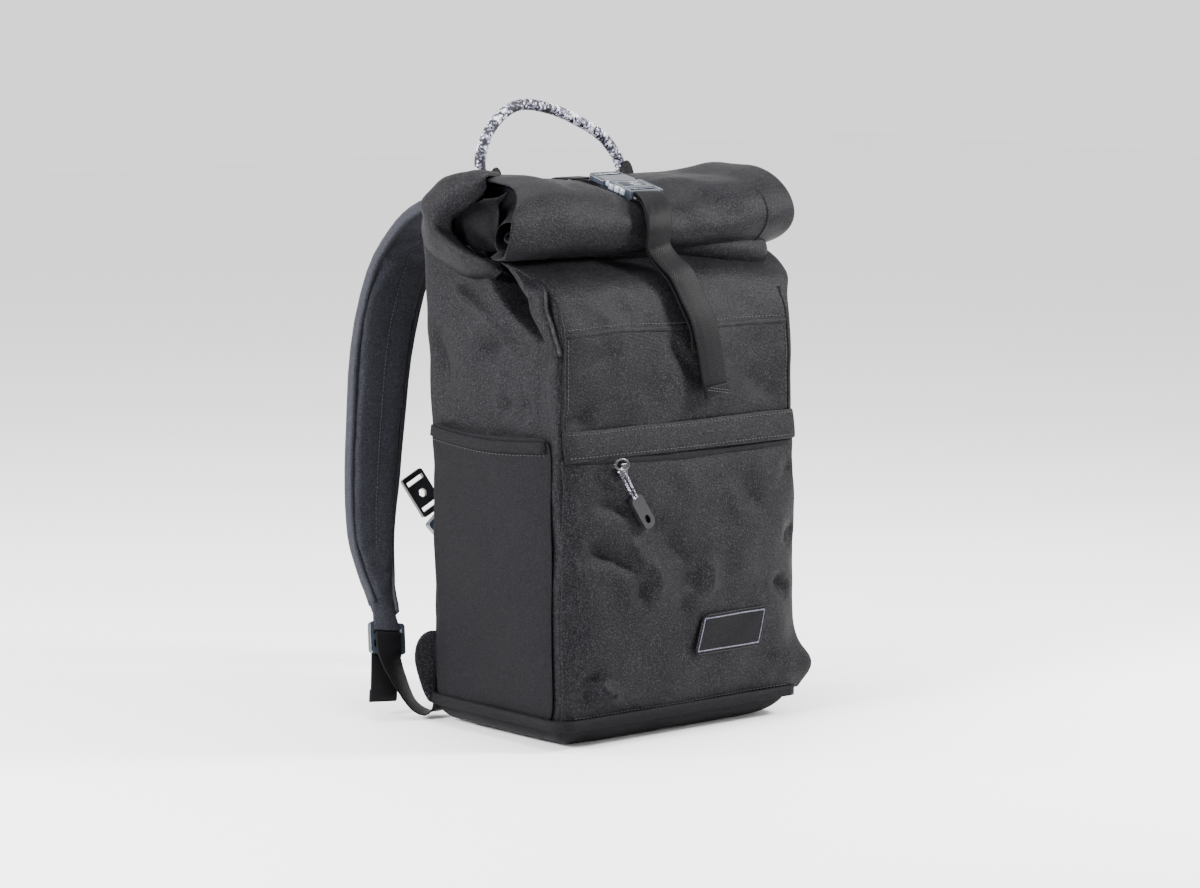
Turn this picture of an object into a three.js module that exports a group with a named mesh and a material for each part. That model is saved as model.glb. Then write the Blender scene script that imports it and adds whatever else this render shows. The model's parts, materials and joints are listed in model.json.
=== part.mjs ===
// Rolltop daypack. Millimetres, +Z up, the front panel faces -Y, and the origin lies on the floor
// under the middle of the base.
import * as THREE from "three";

// Cloth and clearances
const clothWall = 2;
const pocketWall = 1.6;
const foldedCloth = 3;
const seam = 0.3;

// Body
const bodyWidth = 254;
const bodyDepth = 166;
const cornerRadius = 7;
const baseHeight = 20;
const baseRound = 17;
const shoulderHeight = 337;
const neckHeight = 392.5;
const neckLean = 57;
const cuffHeight = 392;
const backHeight = 441;
const gussetDepth = 37;
const gussetFlare = 20;
const sideSplay = 12;
const cuffBulge = 6;
const frontCrown = 2;

// Rolled top
const rollHeight = 58;
const rollReach = 85;
const rollFront = -57;
const rollLift = 9;
const rollPinch = 12;

// Pockets
const flapBottom = 235;
const flapTop = 261;
const pocketBulge = 12;
const sidePocketTop = 257;
const sidePocketBulge = 8;
const labelWidth = 88;
const labelHeight = 35;
const labelThickness = 1;
const labelClearance = 0.2;

// Back panel and shoulder straps
const padWidth = 194;
const padTop = 416;
const padThickness = 10;
const strapWidth = 62;
const strapThickness = 9;
const strapSpread = 62;
const strapRoot = 429;
const strapSplay = 66;
const strapBow = 102;

// Webbing, buckles and rope
const webbingThickness = 1.4;
const closureWidth = 26;
const lowerWidth = 25;
const sternumWidth = 20;
const buckleWidth = 34;
const buckleThickness = 8;
const lockWidth = 33;
const lockLength = 27;
const lockThickness = 5;
const barWidth = 5;
const ropeDiameter = 9.5;
const ropeRise = 70;
const ropeSpan = 150;

const halfWidth = bodyWidth / 2;
const halfDepth = bodyDepth / 2;
const backFace = halfDepth;
const frontFace = -halfDepth;

const heather = new THREE.MeshStandardMaterial({ color: 0x3b393c, roughness: 0.9, metalness: 0 });
const smoothCloth = new THREE.MeshStandardMaterial({ color: 0x343336, roughness: 0.85, metalness: 0 });
const strapKnit = new THREE.MeshStandardMaterial({ color: 0x383940, roughness: 0.9, metalness: 0 });
const blackWeb = new THREE.MeshStandardMaterial({ color: 0x2b2a2c, roughness: 0.8, metalness: 0 });
const slatePlastic = new THREE.MeshStandardMaterial({ color: 0x5b6775, roughness: 0.35, metalness: 0 });
const blackPlastic = new THREE.MeshStandardMaterial({ color: 0x1d1d20, roughness: 0.4, metalness: 0 });
const fleckedRope = new THREE.MeshStandardMaterial({ color: 0x8d8c9c, roughness: 0.9, metalness: 0 });

const bag = new THREE.Group();
const point = (x, y, z) => new THREE.Vector3(x, y, z);
const mix = (from, to, share) => from + (to - from) * share;

function addPiece(name, geometry, material) {
  const piece = new THREE.Mesh(geometry, material);
  piece.name = name;
  bag.add(piece);
  return piece;
}

// A geometry from points and triangles, turned so that its faces point out.
function closedGeometry(points, triangles) {
  let volume = 0;
  for (const [a, b, c] of triangles) {
    volume += points[a].dot(points[b].clone().cross(points[c]));
  }
  const index = triangles.flatMap(([a, b, c]) => (volume < 0 ? [a, c, b] : [a, b, c]));
  const geometry = new THREE.BufferGeometry().setFromPoints(points);
  geometry.setIndex(index);
  geometry.computeVertexNormals();
  return geometry;
}

function quad(triangles, a, b, c, d) {
  triangles.push([a, b, c], [a, c, d]);
}

// A sheet: two grids of points, face and lining, joined along their four edges.
function sheet(face, lining) {
  const rows = face.length;
  const columns = face[0].length;
  const offset = rows * columns;
  const at = (row, column) => row * columns + column;
  const triangles = [];
  for (let row = 0; row < rows - 1; row += 1) {
    for (let column = 0; column < columns - 1; column += 1) {
      const corners = [at(row, column), at(row, column + 1), at(row + 1, column + 1), at(row + 1, column)];
      quad(triangles, ...corners);
      quad(triangles, ...corners.map((corner) => corner + offset).reverse());
    }
  }
  const edge = [];
  for (let column = 0; column < columns - 1; column += 1) edge.push(at(0, column));
  for (let row = 0; row < rows - 1; row += 1) edge.push(at(row, columns - 1));
  for (let column = columns - 1; column > 0; column -= 1) edge.push(at(rows - 1, column));
  for (let row = rows - 1; row > 0; row -= 1) edge.push(at(row, 0));
  edge.forEach((corner, order) => {
    const next = edge[(order + 1) % edge.length];
    quad(triangles, next, corner, corner + offset, next + offset);
  });
  return closedGeometry([...face.flat(), ...lining.flat()], triangles);
}

// A skin through closed rings; with wrap the last ring joins the first, otherwise both ends are capped.
function loft(rings, wrap) {
  const count = rings[0].length;
  const triangles = [];
  const spans = wrap ? rings.length : rings.length - 1;
  for (let ring = 0; ring < spans; ring += 1) {
    const here = ring * count;
    const there = ((ring + 1) % rings.length) * count;
    for (let side = 0; side < count; side += 1) {
      const next = (side + 1) % count;
      quad(triangles, here + side, here + next, there + next, there + side);
    }
  }
  if (!wrap) {
    const last = (rings.length - 1) * count;
    for (let side = 1; side < count - 1; side += 1) {
      triangles.push([0, side + 1, side], [last, last + side, last + side + 1]);
    }
  }
  return closedGeometry(rings.flat(), triangles);
}

// Soft dents: each pushes the cloth in by its depth, fading over its two half sizes.
function dentAt(dents, across, upward) {
  let depth = 0;
  for (const dent of dents) {
    const turn = dent.slant ?? 0;
    const dx = across - dent.across;
    const dz = upward - dent.upward;
    const along = (dx * Math.cos(turn) + dz * Math.sin(turn)) / dent.long;
    const over = (dz * Math.cos(turn) - dx * Math.sin(turn)) / dent.wide;
    depth += dent.depth * Math.exp(-(along * along) - over * over);
  }
  return depth;
}

// A strap of a given section swept along stations, each with its place, width direction and size.
function strapRings(stations, section) {
  return stations.map((station, order) => {
    const before = stations[Math.max(order - 1, 0)].at;
    const after = stations[Math.min(order + 1, stations.length - 1)].at;
    const along = after.clone().sub(before).normalize();
    const across = station.across.clone();
    across.addScaledVector(along, -across.dot(along)).normalize();
    const out = along.clone().cross(across);
    return section.map(([side, height]) =>
      station.at
        .clone()
        .addScaledVector(across, (side * station.width) / 2)
        .addScaledVector(out, (height * station.thickness) / 2),
    );
  });
}

const flatSection = [
  [-1, -1],
  [1, -1],
  [1, 1],
  [-1, 1],
];

// A flat section with rounded edges, as on a padded strap.
const padSection = Array.from({ length: 12 }, (_, order) => {
  const angle = ((order + 0.5) * Math.PI) / 6;
  const squared = (value, power) => Math.sign(value) * Math.abs(value) ** power;
  return [squared(Math.cos(angle), 0.35), squared(Math.sin(angle), 0.7)];
});

// Webbing through a few points, with its width directions spread evenly along it.
function webbing(points, width, directions, steps) {
  const route = new THREE.CatmullRomCurve3(points, false, "centripetal");
  const stations = Array.from({ length: steps + 1 }, (_, order) => {
    const place = (order / steps) * (directions.length - 1);
    const turn = Math.min(Math.floor(place), directions.length - 2);
    const across = directions[turn].clone().lerp(directions[turn + 1], place - turn);
    return { at: route.getPoint(order / steps), across, width, thickness: webbingThickness };
  });
  return loft(strapRings(stations, flatSection), false);
}

// Body: the heights below the shoulder as shares of its height, with how far the side splays out.
const sideRows = [
  { share: 0, splay: 0.25 },
  { share: 0.22, splay: 0.3 },
  { share: 0.45, splay: 0.34 },
  { share: 0.68, splay: 0.42 },
  { share: 0.86, splay: 0.75 },
];
const bodyRows = sideRows.map(({ share, splay }) => ({
  height: mix(baseHeight, shoulderHeight, share),
  splay,
  front: 0,
  lean: 0,
  strip: 0,
  edge: 0,
  depth: 0,
  left: 0,
  right: 0,
  side: 0,
  cuff: 0,
}));

// The rows in which the neck folds in: the front's rise and lean, the ridge strip beside the front seam,
// the side panel's front edge, the fold's depth, the ridge's flare on each side, the side's rise and the
// cuff's bulge.
const neckRows = [
  { front: 0, lean: 0.03, strip: 0.5, edge: 0, depth: 0.1, left: 0, right: 0, side: 0, cuff: 0 },
  { front: 0.38, lean: 0.18, strip: 1, edge: 0.4, depth: 0.6, left: 0, right: 0.3, side: 0.25, cuff: 0 },
  { front: 0.63, lean: 0.27, strip: 0.8, edge: 0.7, depth: 0.9, left: 0.1, right: 0.8, side: 0.5, cuff: 0 },
  { front: 0.81, lean: 0.58, strip: 1, edge: 0.9, depth: 1, left: 0.3, right: 1, side: 0.7, cuff: 0.1 },
  { front: 0.92, lean: 0.82, strip: 0.9, edge: 1, depth: 1, left: 0.5, right: 1, side: 0.86, cuff: 1 },
  { front: 1, lean: 1, strip: 0.7, edge: 1, depth: 1, left: 0.6, right: 1, side: 1, cuff: 0.4 },
].map((row) => ({ height: shoulderHeight, splay: 1, ...row }));
const allRows = [...bodyRows, ...neckRows];
const stripWidth = 18;
const foldFoot = -54;
const foldHead = 6;

const sideDents = [
  { across: -0.35, upward: 0.78, long: 0.5, wide: 0.06, depth: 3, slant: -0.5 },
  { across: 0.3, upward: 0.86, long: 0.45, wide: 0.05, depth: 3, slant: 0.35 },
];
const frontDents = [
  { across: -0.45, upward: 0.93, long: 0.3, wide: 0.05, depth: 3, slant: 0.5 },
  { across: 0.5, upward: 0.9, long: 0.3, wide: 0.05, depth: 2.5, slant: -0.5 },
];

// The height of the rim above one point of the side, from the cuff's low front to the back panel.
const rimHeight = (share) => mix(cuffHeight, backHeight, share * share);

// How far the side panel stands out at one height, at a share of the way from its front to its back.
const splayAt = (splay, share) => sideSplay * splay * mix(0.25, 1, share);

// The side's splay at any height below the shoulder, between the rows of its table.
function splayAtHeight(z) {
  const share = (z - baseHeight) / (shoulderHeight - baseHeight);
  const above = sideRows.findIndex((row) => row.share > share);
  const [low, high] = [sideRows[above - 1], sideRows[above]];
  return mix(low.splay, high.splay, (share - low.share) / (high.share - low.share));
}

// Half of one plan outline, from the middle of the front round the right side to the back.
function halfOutline(row, flare) {
  const r = cornerRadius;
  const frontY = frontFace + neckLean * row.lean;
  const frontZ = row.height + (neckHeight - shoulderHeight) * row.front;
  const out = halfWidth + gussetFlare * flare;
  const outline = [];
  for (let step = 0; step < 6; step += 1) {
    const share = step / 5;
    const crown = frontCrown * (1 - share * share);
    outline.push(point((out - r) * share, frontY - crown, frontZ));
  }
  const strip = r + (stripWidth - r) * row.strip;
  const edgeY = mix(foldFoot, foldHead, row.edge);
  const ridgeY = frontY + strip;
  const depth = gussetDepth * row.depth;
  const inX = halfWidth - depth;
  outline.push(point(out - 0.3 * r, frontY + 0.3 * r, frontZ));
  outline.push(point(out, ridgeY, frontZ));
  outline.push(point(mix(out, inX, 0.6), mix(ridgeY, edgeY, 0.18), frontZ));
  outline.push(point(inX, mix(ridgeY, edgeY, 0.5), frontZ));
  outline.push(point(mix(halfWidth, inX, 0.55), mix(ridgeY, edgeY, 0.85), frontZ));
  const cornerY = backFace - r;
  for (let step = 0; step < 6; step += 1) {
    const share = step / 5;
    const z = row.height + (rimHeight(share) - shoulderHeight) * row.side;
    const bulge = cuffBulge * row.cuff * Math.sin(Math.PI * Math.min(share * 0.75 + 0.25, 1));
    outline.push(point(halfWidth + bulge + splayAt(row.splay, share), mix(edgeY, cornerY, share), z));
  }
  const backZ = row.height + (backHeight - shoulderHeight) * row.side;
  const backX = halfWidth + splayAt(row.splay, 1);
  outline.push(point(backX - 0.3 * r, backFace - 0.3 * r, backZ));
  for (let step = 0; step < 5; step += 1) {
    outline.push(point((backX - r) * (1 - step / 4), backFace, backZ));
  }
  return outline;
}

// The whole outline, with the left side mirrored and the dents pressed in.
function bodyOutline(row) {
  const right = halfOutline(row, row.right);
  const left = halfOutline(row, row.left)
    .slice(1, -1)
    .reverse()
    .map((p) => point(-p.x, p.y, p.z));
  return [...right, ...left].map((p) => {
    const upward = p.z / backHeight;
    const onSide = Math.abs(p.x) > halfWidth - 1 && p.y > frontFace + 4 * cornerRadius;
    const onFront = Math.abs(p.x) < halfWidth - 2 * cornerRadius && p.y < 0;
    if (onSide) p.x -= Math.sign(p.x) * dentAt(sideDents, p.y / halfDepth, upward);
    if (onFront) p.y += dentAt(frontDents, p.x / halfWidth, upward);
    return p;
  });
}

// The same outline moved in by a wall, within its own plan.
function insetOutline(outline, wall) {
  const count = outline.length;
  return outline.map((p, order) => {
    const before = outline[(order + count - 1) % count];
    const after = outline[(order + 1) % count];
    const along = point(after.x - before.x, after.y - before.y, 0).normalize();
    return point(p.x - along.y * wall, p.y + along.x * wall, p.z);
  });
}

function buildBody() {
  const outer = allRows.map(bodyOutline);
  const inner = allRows.map((row, order) => insetOutline(outer[order], clothWall * (1 + 0.4 * row.lean)));
  addPiece("bag_body", loft([...outer, ...inner.reverse()], true), heather);
}

// Base: a tray with a rounded lower edge and a flat underside, whose rim meets the body's lower edge.
// Its rings are the body's own lowest outline, each moved in by an inset and laid at its height.
function buildBase() {
  const rim = bodyOutline(allRows[0]);
  const levels = [
    { inset: 1, height: 0 },
    { inset: 0.42, height: 0.25 },
    { inset: 0.1, height: 0.6 },
    { inset: 0, height: 1 },
  ];
  const ringAt = (level, wall) => {
    const inset = baseRound * level.inset + wall;
    const z = mix(wall, baseHeight - seam, level.height);
    return rim.map((p) => point(p.x * (1 - inset / halfWidth), p.y * (1 - inset / halfDepth), z));
  };
  const outer = levels.map((level) => ringAt(level, 0));
  const inner = levels.map((level) => ringAt(level, clothWall));
  addPiece("base_panel", loft([...outer, ...inner.reverse()], false), smoothCloth);
}

// Rolled top: the spiral section from the back panel forward, as shares of the roll's reach and height,
// with how far each line of it runs past the body on the left and on the right, and how far the
// closure's webbing pulls it in and down.
const rollLines = [
  { forward: -0.63, height: 0.83, left: 5, right: 6, pullIn: 0, pullDown: 0 },
  { forward: -0.58, height: 0.91, left: 5, right: 7, pullIn: 0, pullDown: 0 },
  { forward: -0.4, height: 0.93, left: 5, right: 11, pullIn: 0, pullDown: 0 },
  { forward: -0.03, height: 0.965, left: 4, right: 15, pullIn: 0, pullDown: 0.3 },
  { forward: 0.33, height: 0.96, left: 3, right: 18, pullIn: 0, pullDown: 0.7 },
  { forward: 0.61, height: 0.92, left: 4, right: 20, pullIn: 0.15, pullDown: 1 },
  { forward: 0.85, height: 0.79, left: 15, right: 22, pullIn: 0.35, pullDown: 0.8 },
  { forward: 0.99, height: 0.56, left: 28, right: 22, pullIn: 0.6, pullDown: 0.35 },
  { forward: 1.0, height: 0.3, left: 32, right: 21, pullIn: 0.4, pullDown: 0 },
  { forward: 0.87, height: 0.08, left: 26, right: 18, pullIn: 0.15, pullDown: 0 },
  { forward: 0.66, height: 0.0, left: 19, right: 15, pullIn: 0, pullDown: 0 },
  { forward: 0.45, height: 0.06, left: 13, right: 13, pullIn: 0, pullDown: 0 },
  { forward: 0.3, height: 0.27, left: 11, right: 11, pullIn: 0, pullDown: 0 },
  { forward: 0.32, height: 0.51, left: 11, right: 11, pullIn: 0, pullDown: 0.1 },
  { forward: 0.48, height: 0.66, left: 12, right: 11, pullIn: 0, pullDown: 0.5 },
  { forward: 0.67, height: 0.62, left: 12, right: 11, pullIn: 0.2, pullDown: 0.5 },
  { forward: 0.79, height: 0.45, left: 13, right: 11, pullIn: 0.35, pullDown: 0.2 },
  { forward: 0.76, height: 0.27, left: 13, right: 11, pullIn: 0.2, pullDown: 0 },
  { forward: 0.61, height: 0.21, left: 13, right: 11, pullIn: 0.1, pullDown: 0 },
  { forward: 0.5, height: 0.32, left: 12, right: 11, pullIn: 0, pullDown: 0.1 },
  { forward: 0.56, height: 0.43, left: 12, right: 11, pullIn: 0.1, pullDown: 0.2 },
];
const rollStations = [
  { across: 0, lift: 0.6, pinch: 0 },
  { across: 0.07, lift: 0.9, pinch: 0 },
  { across: 0.14, lift: 1, pinch: 0 },
  { across: 0.26, lift: 0.5, pinch: 0 },
  { across: 0.37, lift: 0.05, pinch: 0.15 },
  { across: 0.44, lift: 0, pinch: 1 },
  { across: 0.53, lift: 0, pinch: 1 },
  { across: 0.61, lift: 0, pinch: 1 },
  { across: 0.69, lift: 0.05, pinch: 0.2 },
  { across: 0.84, lift: 0.3, pinch: 0 },
  { across: 0.94, lift: 0.7, pinch: 0 },
  { across: 1, lift: 0.8, pinch: 0 },
];
const rollBottom = neckHeight + seam + foldedCloth / 2 + 0.4;
const rollBack = rollFront + rollReach;
const rollSteps = 36;

// One smooth line through the roll's section, in the plane across the bag.
function rollSection(station) {
  const lines = rollLines.map((line) => {
    const pinch = rollPinch * station.pinch;
    const y = rollBack - rollReach * line.forward + pinch * line.pullIn;
    const loose = Math.min((line.forward + 0.63) * 1.8, 1);
    const lift = rollLift * station.lift * line.height * loose;
    const z = rollBottom + rollHeight * line.height + lift - pinch * line.pullDown;
    return point(0, line.forward < -0.6 ? backFace - clothWall : y, z);
  });
  return new THREE.CatmullRomCurve3(lines, false, "centripetal");
}

// A value of one column of the section's table, at a share of the way through it.
function columnAt(rows, column, share) {
  const place = share * (rows.length - 1);
  const row = Math.min(Math.floor(place), rows.length - 2);
  return mix(rows[row][column], rows[row + 1][column], place - row);
}

// A point of the roll's middle sheet and the direction out of it.
function rollPoint(station, share, height) {
  const curve = rollSection(station);
  const at = curve.getPoint(share);
  const along = curve.getTangent(share);
  const out = point(0, along.z, -along.y);
  const left = -halfWidth - columnAt(rollLines, "left", share);
  const right = halfWidth + columnAt(rollLines, "right", share);
  at.x = mix(left, right, station.across);
  return at.addScaledVector(out, height);
}

function buildRoll() {
  const gridAt = (height) =>
    rollStations.map((station) =>
      Array.from({ length: rollSteps + 1 }, (_, step) => rollPoint(station, step / rollSteps, height)),
    );
  addPiece("rolled_top", sheet(gridAt(-foldedCloth / 2), gridAt(foldedCloth / 2)), heather);
}

// Front pocket: a bulging panel whose edges lie on the front of the body.
const pocketDents = [
  { across: -0.62, upward: 0.42, long: 0.3, wide: 0.09, depth: 4, slant: -0.9 },
  { across: -0.3, upward: 0.3, long: 0.25, wide: 0.07, depth: 3, slant: 0.7 },
  { across: 0.1, upward: 0.55, long: 0.5, wide: 0.08, depth: 3, slant: -0.35 },
  { across: 0.55, upward: 0.42, long: 0.3, wide: 0.07, depth: 3, slant: 0.5 },
  { across: -0.9, upward: 0.6, long: 0.12, wide: 0.05, depth: 2.5 },
  { across: -0.9, upward: 0.35, long: 0.12, wide: 0.05, depth: 2.5 },
];
const pocketBottom = baseHeight + 1.5;
const pocketTop = flapBottom + 3;
const pocketHalf = halfWidth - 1;

// Shares from -1 to 1 that lie closer together near both ends.
const edgeShares = (columns) =>
  Array.from({ length: columns + 1 }, (_, column) => Math.sin(Math.PI * (column / columns - 0.5)));

function pocketPoint(across, upward, height) {
  const bow = (1 - Math.abs(across) ** 5) * Math.sin(Math.PI * upward ** 0.75) ** 0.7;
  const corner = 6 * Math.max(across, 0) ** 6 * Math.exp(-(((upward - 0.1) / 0.12) ** 2));
  const edge = Math.max(Math.abs(across) - 0.82, 0) / 0.18;
  const round = cornerRadius * 0.45 * edge * edge;
  const dent = dentAt(pocketDents, across, upward) * (1 - Math.abs(across) ** 8);
  const out = Math.max(pocketBulge * bow - dent, 0) + corner + height + seam;
  const x = (pocketHalf + corner * 0.8) * across;
  return point(x, frontFace - frontCrown - out + round, mix(pocketBottom, pocketTop, upward));
}

function buildFrontPocket() {
  const rows = 12;
  const gridAt = (height) =>
    Array.from({ length: rows + 1 }, (_, row) =>
      edgeShares(18).map((across) => pocketPoint(across, row / rows, height)),
    );
  addPiece("front_pocket", sheet(gridAt(pocketWall), gridAt(0)), heather);
}

// Zip flap: the stitched band above the pocket, folded down over the zip.
function buildFlap() {
  const levels = [
    { z: flapBottom, out: 3.4 },
    { z: mix(flapBottom, flapTop, 0.35), out: 3 },
    { z: flapTop, out: 0 },
  ];
  const gridAt = (height) =>
    levels.map((level) =>
      edgeShares(14).map((across) => {
        const edge = Math.max(Math.abs(across) - 0.82, 0) / 0.18;
        const round = cornerRadius * 0.45 * edge * edge;
        const y = frontFace - frontCrown - seam - level.out - height + round;
        return point(pocketHalf * across, y, level.z);
      }),
    );
  addPiece("zip_flap", sheet(gridAt(pocketWall), gridAt(0)), heather);
}

// The label's patch lies on the pocket, right of the middle and low.
function buildLabel() {
  const middle = { across: 0.36, upward: 0.28 };
  const spanAcross = labelWidth / (2 * pocketHalf);
  const spanUp = labelHeight / (pocketTop - pocketBottom);
  const gridAt = (height) =>
    Array.from({ length: 4 }, (_, row) =>
      Array.from({ length: 7 }, (_, column) =>
        pocketPoint(
          middle.across + (column / 6 - 0.5) * 2 * spanAcross,
          middle.upward + (row / 3 - 0.5) * spanUp,
          height,
        ),
      ),
    );
  const foot = pocketWall + 2 * seam + labelClearance;
  addPiece("label_patch", sheet(gridAt(foot + labelThickness), gridAt(foot)), blackWeb);
}

// Side pockets: a smooth panel on each side, fixed along its foot and both edges and open above.
function buildSidePocket(name, sign) {
  const columns = 10;
  const rows = 8;
  const foot = baseHeight + 1.5;
  const nearY = frontFace + cornerRadius + 1;
  const farY = backFace - cornerRadius - 1;
  const gridAt = (height) =>
    Array.from({ length: rows + 1 }, (_, row) =>
      Array.from({ length: columns + 1 }, (_, column) => {
        const share = column / columns;
        const rise = row / rows;
        const belly = sidePocketBulge * Math.sin(Math.PI * share) ** 0.6 * rise ** 0.5;
        const sag = 4 * Math.sin(Math.PI * share) * rise;
        const y = mix(nearY, farY, share);
        const z = mix(foot, sidePocketTop, rise) - sag;
        const body = splayAt(splayAtHeight(z), Math.max((y - foldFoot) / (backFace - foldFoot), 0));
        const x = halfWidth + body + seam + belly + height;
        return point(sign * x, y, z);
      }),
    );
  addPiece(name, sheet(gridAt(pocketWall), gridAt(0)), smoothCloth);
}

// Zip pull: the slider under the flap, a doubled cord and a moulded grip that hang from it.
function buildZipPull() {
  const place = { across: -0.55, upward: (flapBottom - 8 - pocketBottom) / (pocketTop - pocketBottom) };
  const onPocket = pocketPoint(place.across, place.upward, pocketWall + seam);
  const sliderSize = { x: 7, y: 4, z: 11 };
  const slider = new THREE.BoxGeometry(sliderSize.x, sliderSize.y, sliderSize.z);
  const sliderPiece = addPiece("zip_slider", slider, blackPlastic);
  sliderPiece.position.set(onPocket.x, onPocket.y - sliderSize.y / 2 - 0.9, onPocket.z - 1);
  const cordSize = { width: 5, depth: 2.6, length: 17 };
  const gripSize = { width: 12, depth: 5, length: 31 };
  const reach = { across: 0.2, upward: -0.2 };
  const low = pocketPoint(place.across + reach.across, place.upward + reach.upward, pocketWall + seam);
  const rise = onPocket.clone().sub(low).normalize();
  const inward = point(0, 1, 0).addScaledVector(rise, -rise.y).normalize();
  const hang = new THREE.Group();
  hang.position.set(onPocket.x, onPocket.y - gripSize.depth / 2 - 1.6, onPocket.z - sliderSize.z / 2 - 2.1);
  hang.quaternion.setFromRotationMatrix(
    new THREE.Matrix4().makeBasis(inward.clone().cross(rise), inward, rise),
  );
  bag.add(hang);
  const cordShape = roundedRectangle(cordSize.width, cordSize.length, 1.2);
  const cord = extrudeUpright(cordShape, cordSize.depth);
  const cordPiece = new THREE.Mesh(cord, fleckedRope);
  cordPiece.name = "pull_cord";
  cordPiece.position.z = -cordSize.length / 2;
  const gripShape = roundedRectangle(gripSize.width, gripSize.length, 5.4);
  const hole = new THREE.Path();
  hole.absellipse(0, -gripSize.length / 2 + 8, 2.6, 4, 0, 2 * Math.PI);
  gripShape.holes.push(hole);
  const gripPiece = new THREE.Mesh(extrudeUpright(gripShape, gripSize.depth), slatePlastic);
  gripPiece.name = "pull_grip";
  gripPiece.position.z = -cordSize.length - seam - gripSize.length / 2;
  hang.add(cordPiece, gripPiece);
}

function roundedRectangle(width, height, radius) {
  const shape = new THREE.Shape();
  const x = width / 2;
  const y = height / 2;
  shape.moveTo(-x + radius, -y);
  shape.lineTo(x - radius, -y);
  shape.absarc(x - radius, -y + radius, radius, -Math.PI / 2, 0);
  shape.lineTo(x, y - radius);
  shape.absarc(x - radius, y - radius, radius, 0, Math.PI / 2);
  shape.lineTo(-x + radius, y);
  shape.absarc(-x + radius, y - radius, radius, Math.PI / 2, Math.PI);
  shape.lineTo(-x, -y + radius);
  shape.absarc(-x + radius, -y + radius, radius, Math.PI, 1.5 * Math.PI);
  return shape;
}

// An outline drawn upright, in X and Z, and given a depth along Y, centred.
function extrudeUpright(shape, depth) {
  const geometry = new THREE.ExtrudeGeometry(shape, { depth, bevelEnabled: false, curveSegments: 4 });
  geometry.translate(0, 0, -depth / 2);
  geometry.rotateX(Math.PI / 2);
  return geometry;
}

function buildBackPad() {
  const bevel = 2.5;
  const height = padTop - baseHeight - 4;
  const shape = roundedRectangle(padWidth - 2 * bevel, height - 2 * bevel, 26);
  const depth = padThickness - 2 * bevel;
  const geometry = new THREE.ExtrudeGeometry(shape, {
    depth,
    bevelEnabled: true,
    bevelThickness: bevel,
    bevelSize: bevel,
    bevelSegments: 1,
    curveSegments: 5,
  });
  geometry.translate(0, 0, -depth / 2);
  geometry.rotateX(Math.PI / 2);
  geometry.translate(0, backFace + seam + padThickness / 2, padTop - height / 2);
  addPiece("back_pad", geometry, strapKnit);
}

// Shoulder straps: each stands out from the root at the top of the back, bows away and comes back to
// its lock. Out and down are shares of the splay, the bow and the root's height.
const strapPath = [
  { splay: 0, bow: 0, height: 1, width: 0.96, thickness: 0.7 },
  { splay: 0, bow: 0.12, height: 1, width: 0.98, thickness: 0.9 },
  { splay: 0.04, bow: 0.42, height: 1.008, width: 1, thickness: 1 },
  { splay: 0.12, bow: 0.74, height: 0.965, width: 1, thickness: 1 },
  { splay: 0.24, bow: 0.93, height: 0.9, width: 1, thickness: 1 },
  { splay: 0.52, bow: 1, height: 0.785, width: 1, thickness: 1 },
  { splay: 0.77, bow: 0.93, height: 0.61, width: 1, thickness: 1 },
  { splay: 0.93, bow: 0.86, height: 0.47, width: 1, thickness: 1 },
  { splay: 0.99, bow: 0.8, height: 0.37, width: 0.97, thickness: 1 },
  { splay: 1.03, bow: 0.7, height: 0.285, width: 0.9, thickness: 1 },
  { splay: 1.11, bow: 0.56, height: 0.225, width: 0.72, thickness: 0.9 },
  { splay: 1.22, bow: 0.45, height: 0.191, width: 0.52, thickness: 0.7 },
];
const strapStart = backFace + seam + 0.6;

function strapCurve(sign) {
  const points = strapPath.map((row) => {
    const x = sign * (strapSpread + strapSplay * row.splay);
    return point(x, strapStart + strapBow * row.bow, strapRoot * row.height);
  });
  return new THREE.CatmullRomCurve3(points, false, "centripetal");
}

function buildShoulderStrap(name, sign) {
  const curve = strapCurve(sign);
  const steps = 24;
  const stations = Array.from({ length: steps + 1 }, (_, step) => {
    const share = step / steps;
    return {
      at: curve.getPoint(share),
      across: point(1, 0, 0),
      width: strapWidth * columnAt(strapPath, "width", share),
      thickness: strapThickness * columnAt(strapPath, "thickness", share),
    };
  });
  addPiece(name, loft(strapRings(stations, padSection), false), strapKnit);
}

// The frame of a ladder lock, at the tip of a strap: across, down along the strap and out of it.
function lockFrame(sign) {
  const curve = strapCurve(sign);
  const strapDown = curve.getTangent(1);
  const down = strapDown.clone().lerp(point(0, 0, -1), 0.45).normalize();
  const across = point(1, 0, 0).addScaledVector(strapDown, -strapDown.x).normalize();
  const out = across.clone().cross(down).normalize();
  const middle = curve.getPoint(1).addScaledVector(down, lockLength / 2 + 3.4);
  across.addScaledVector(down, -across.dot(down)).normalize();
  return { middle, across, down, out };
}

function inLock(frame, across, down, out) {
  return frame.middle
    .clone()
    .addScaledVector(frame.across, across)
    .addScaledVector(frame.down, down)
    .addScaledVector(frame.out, out);
}

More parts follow.
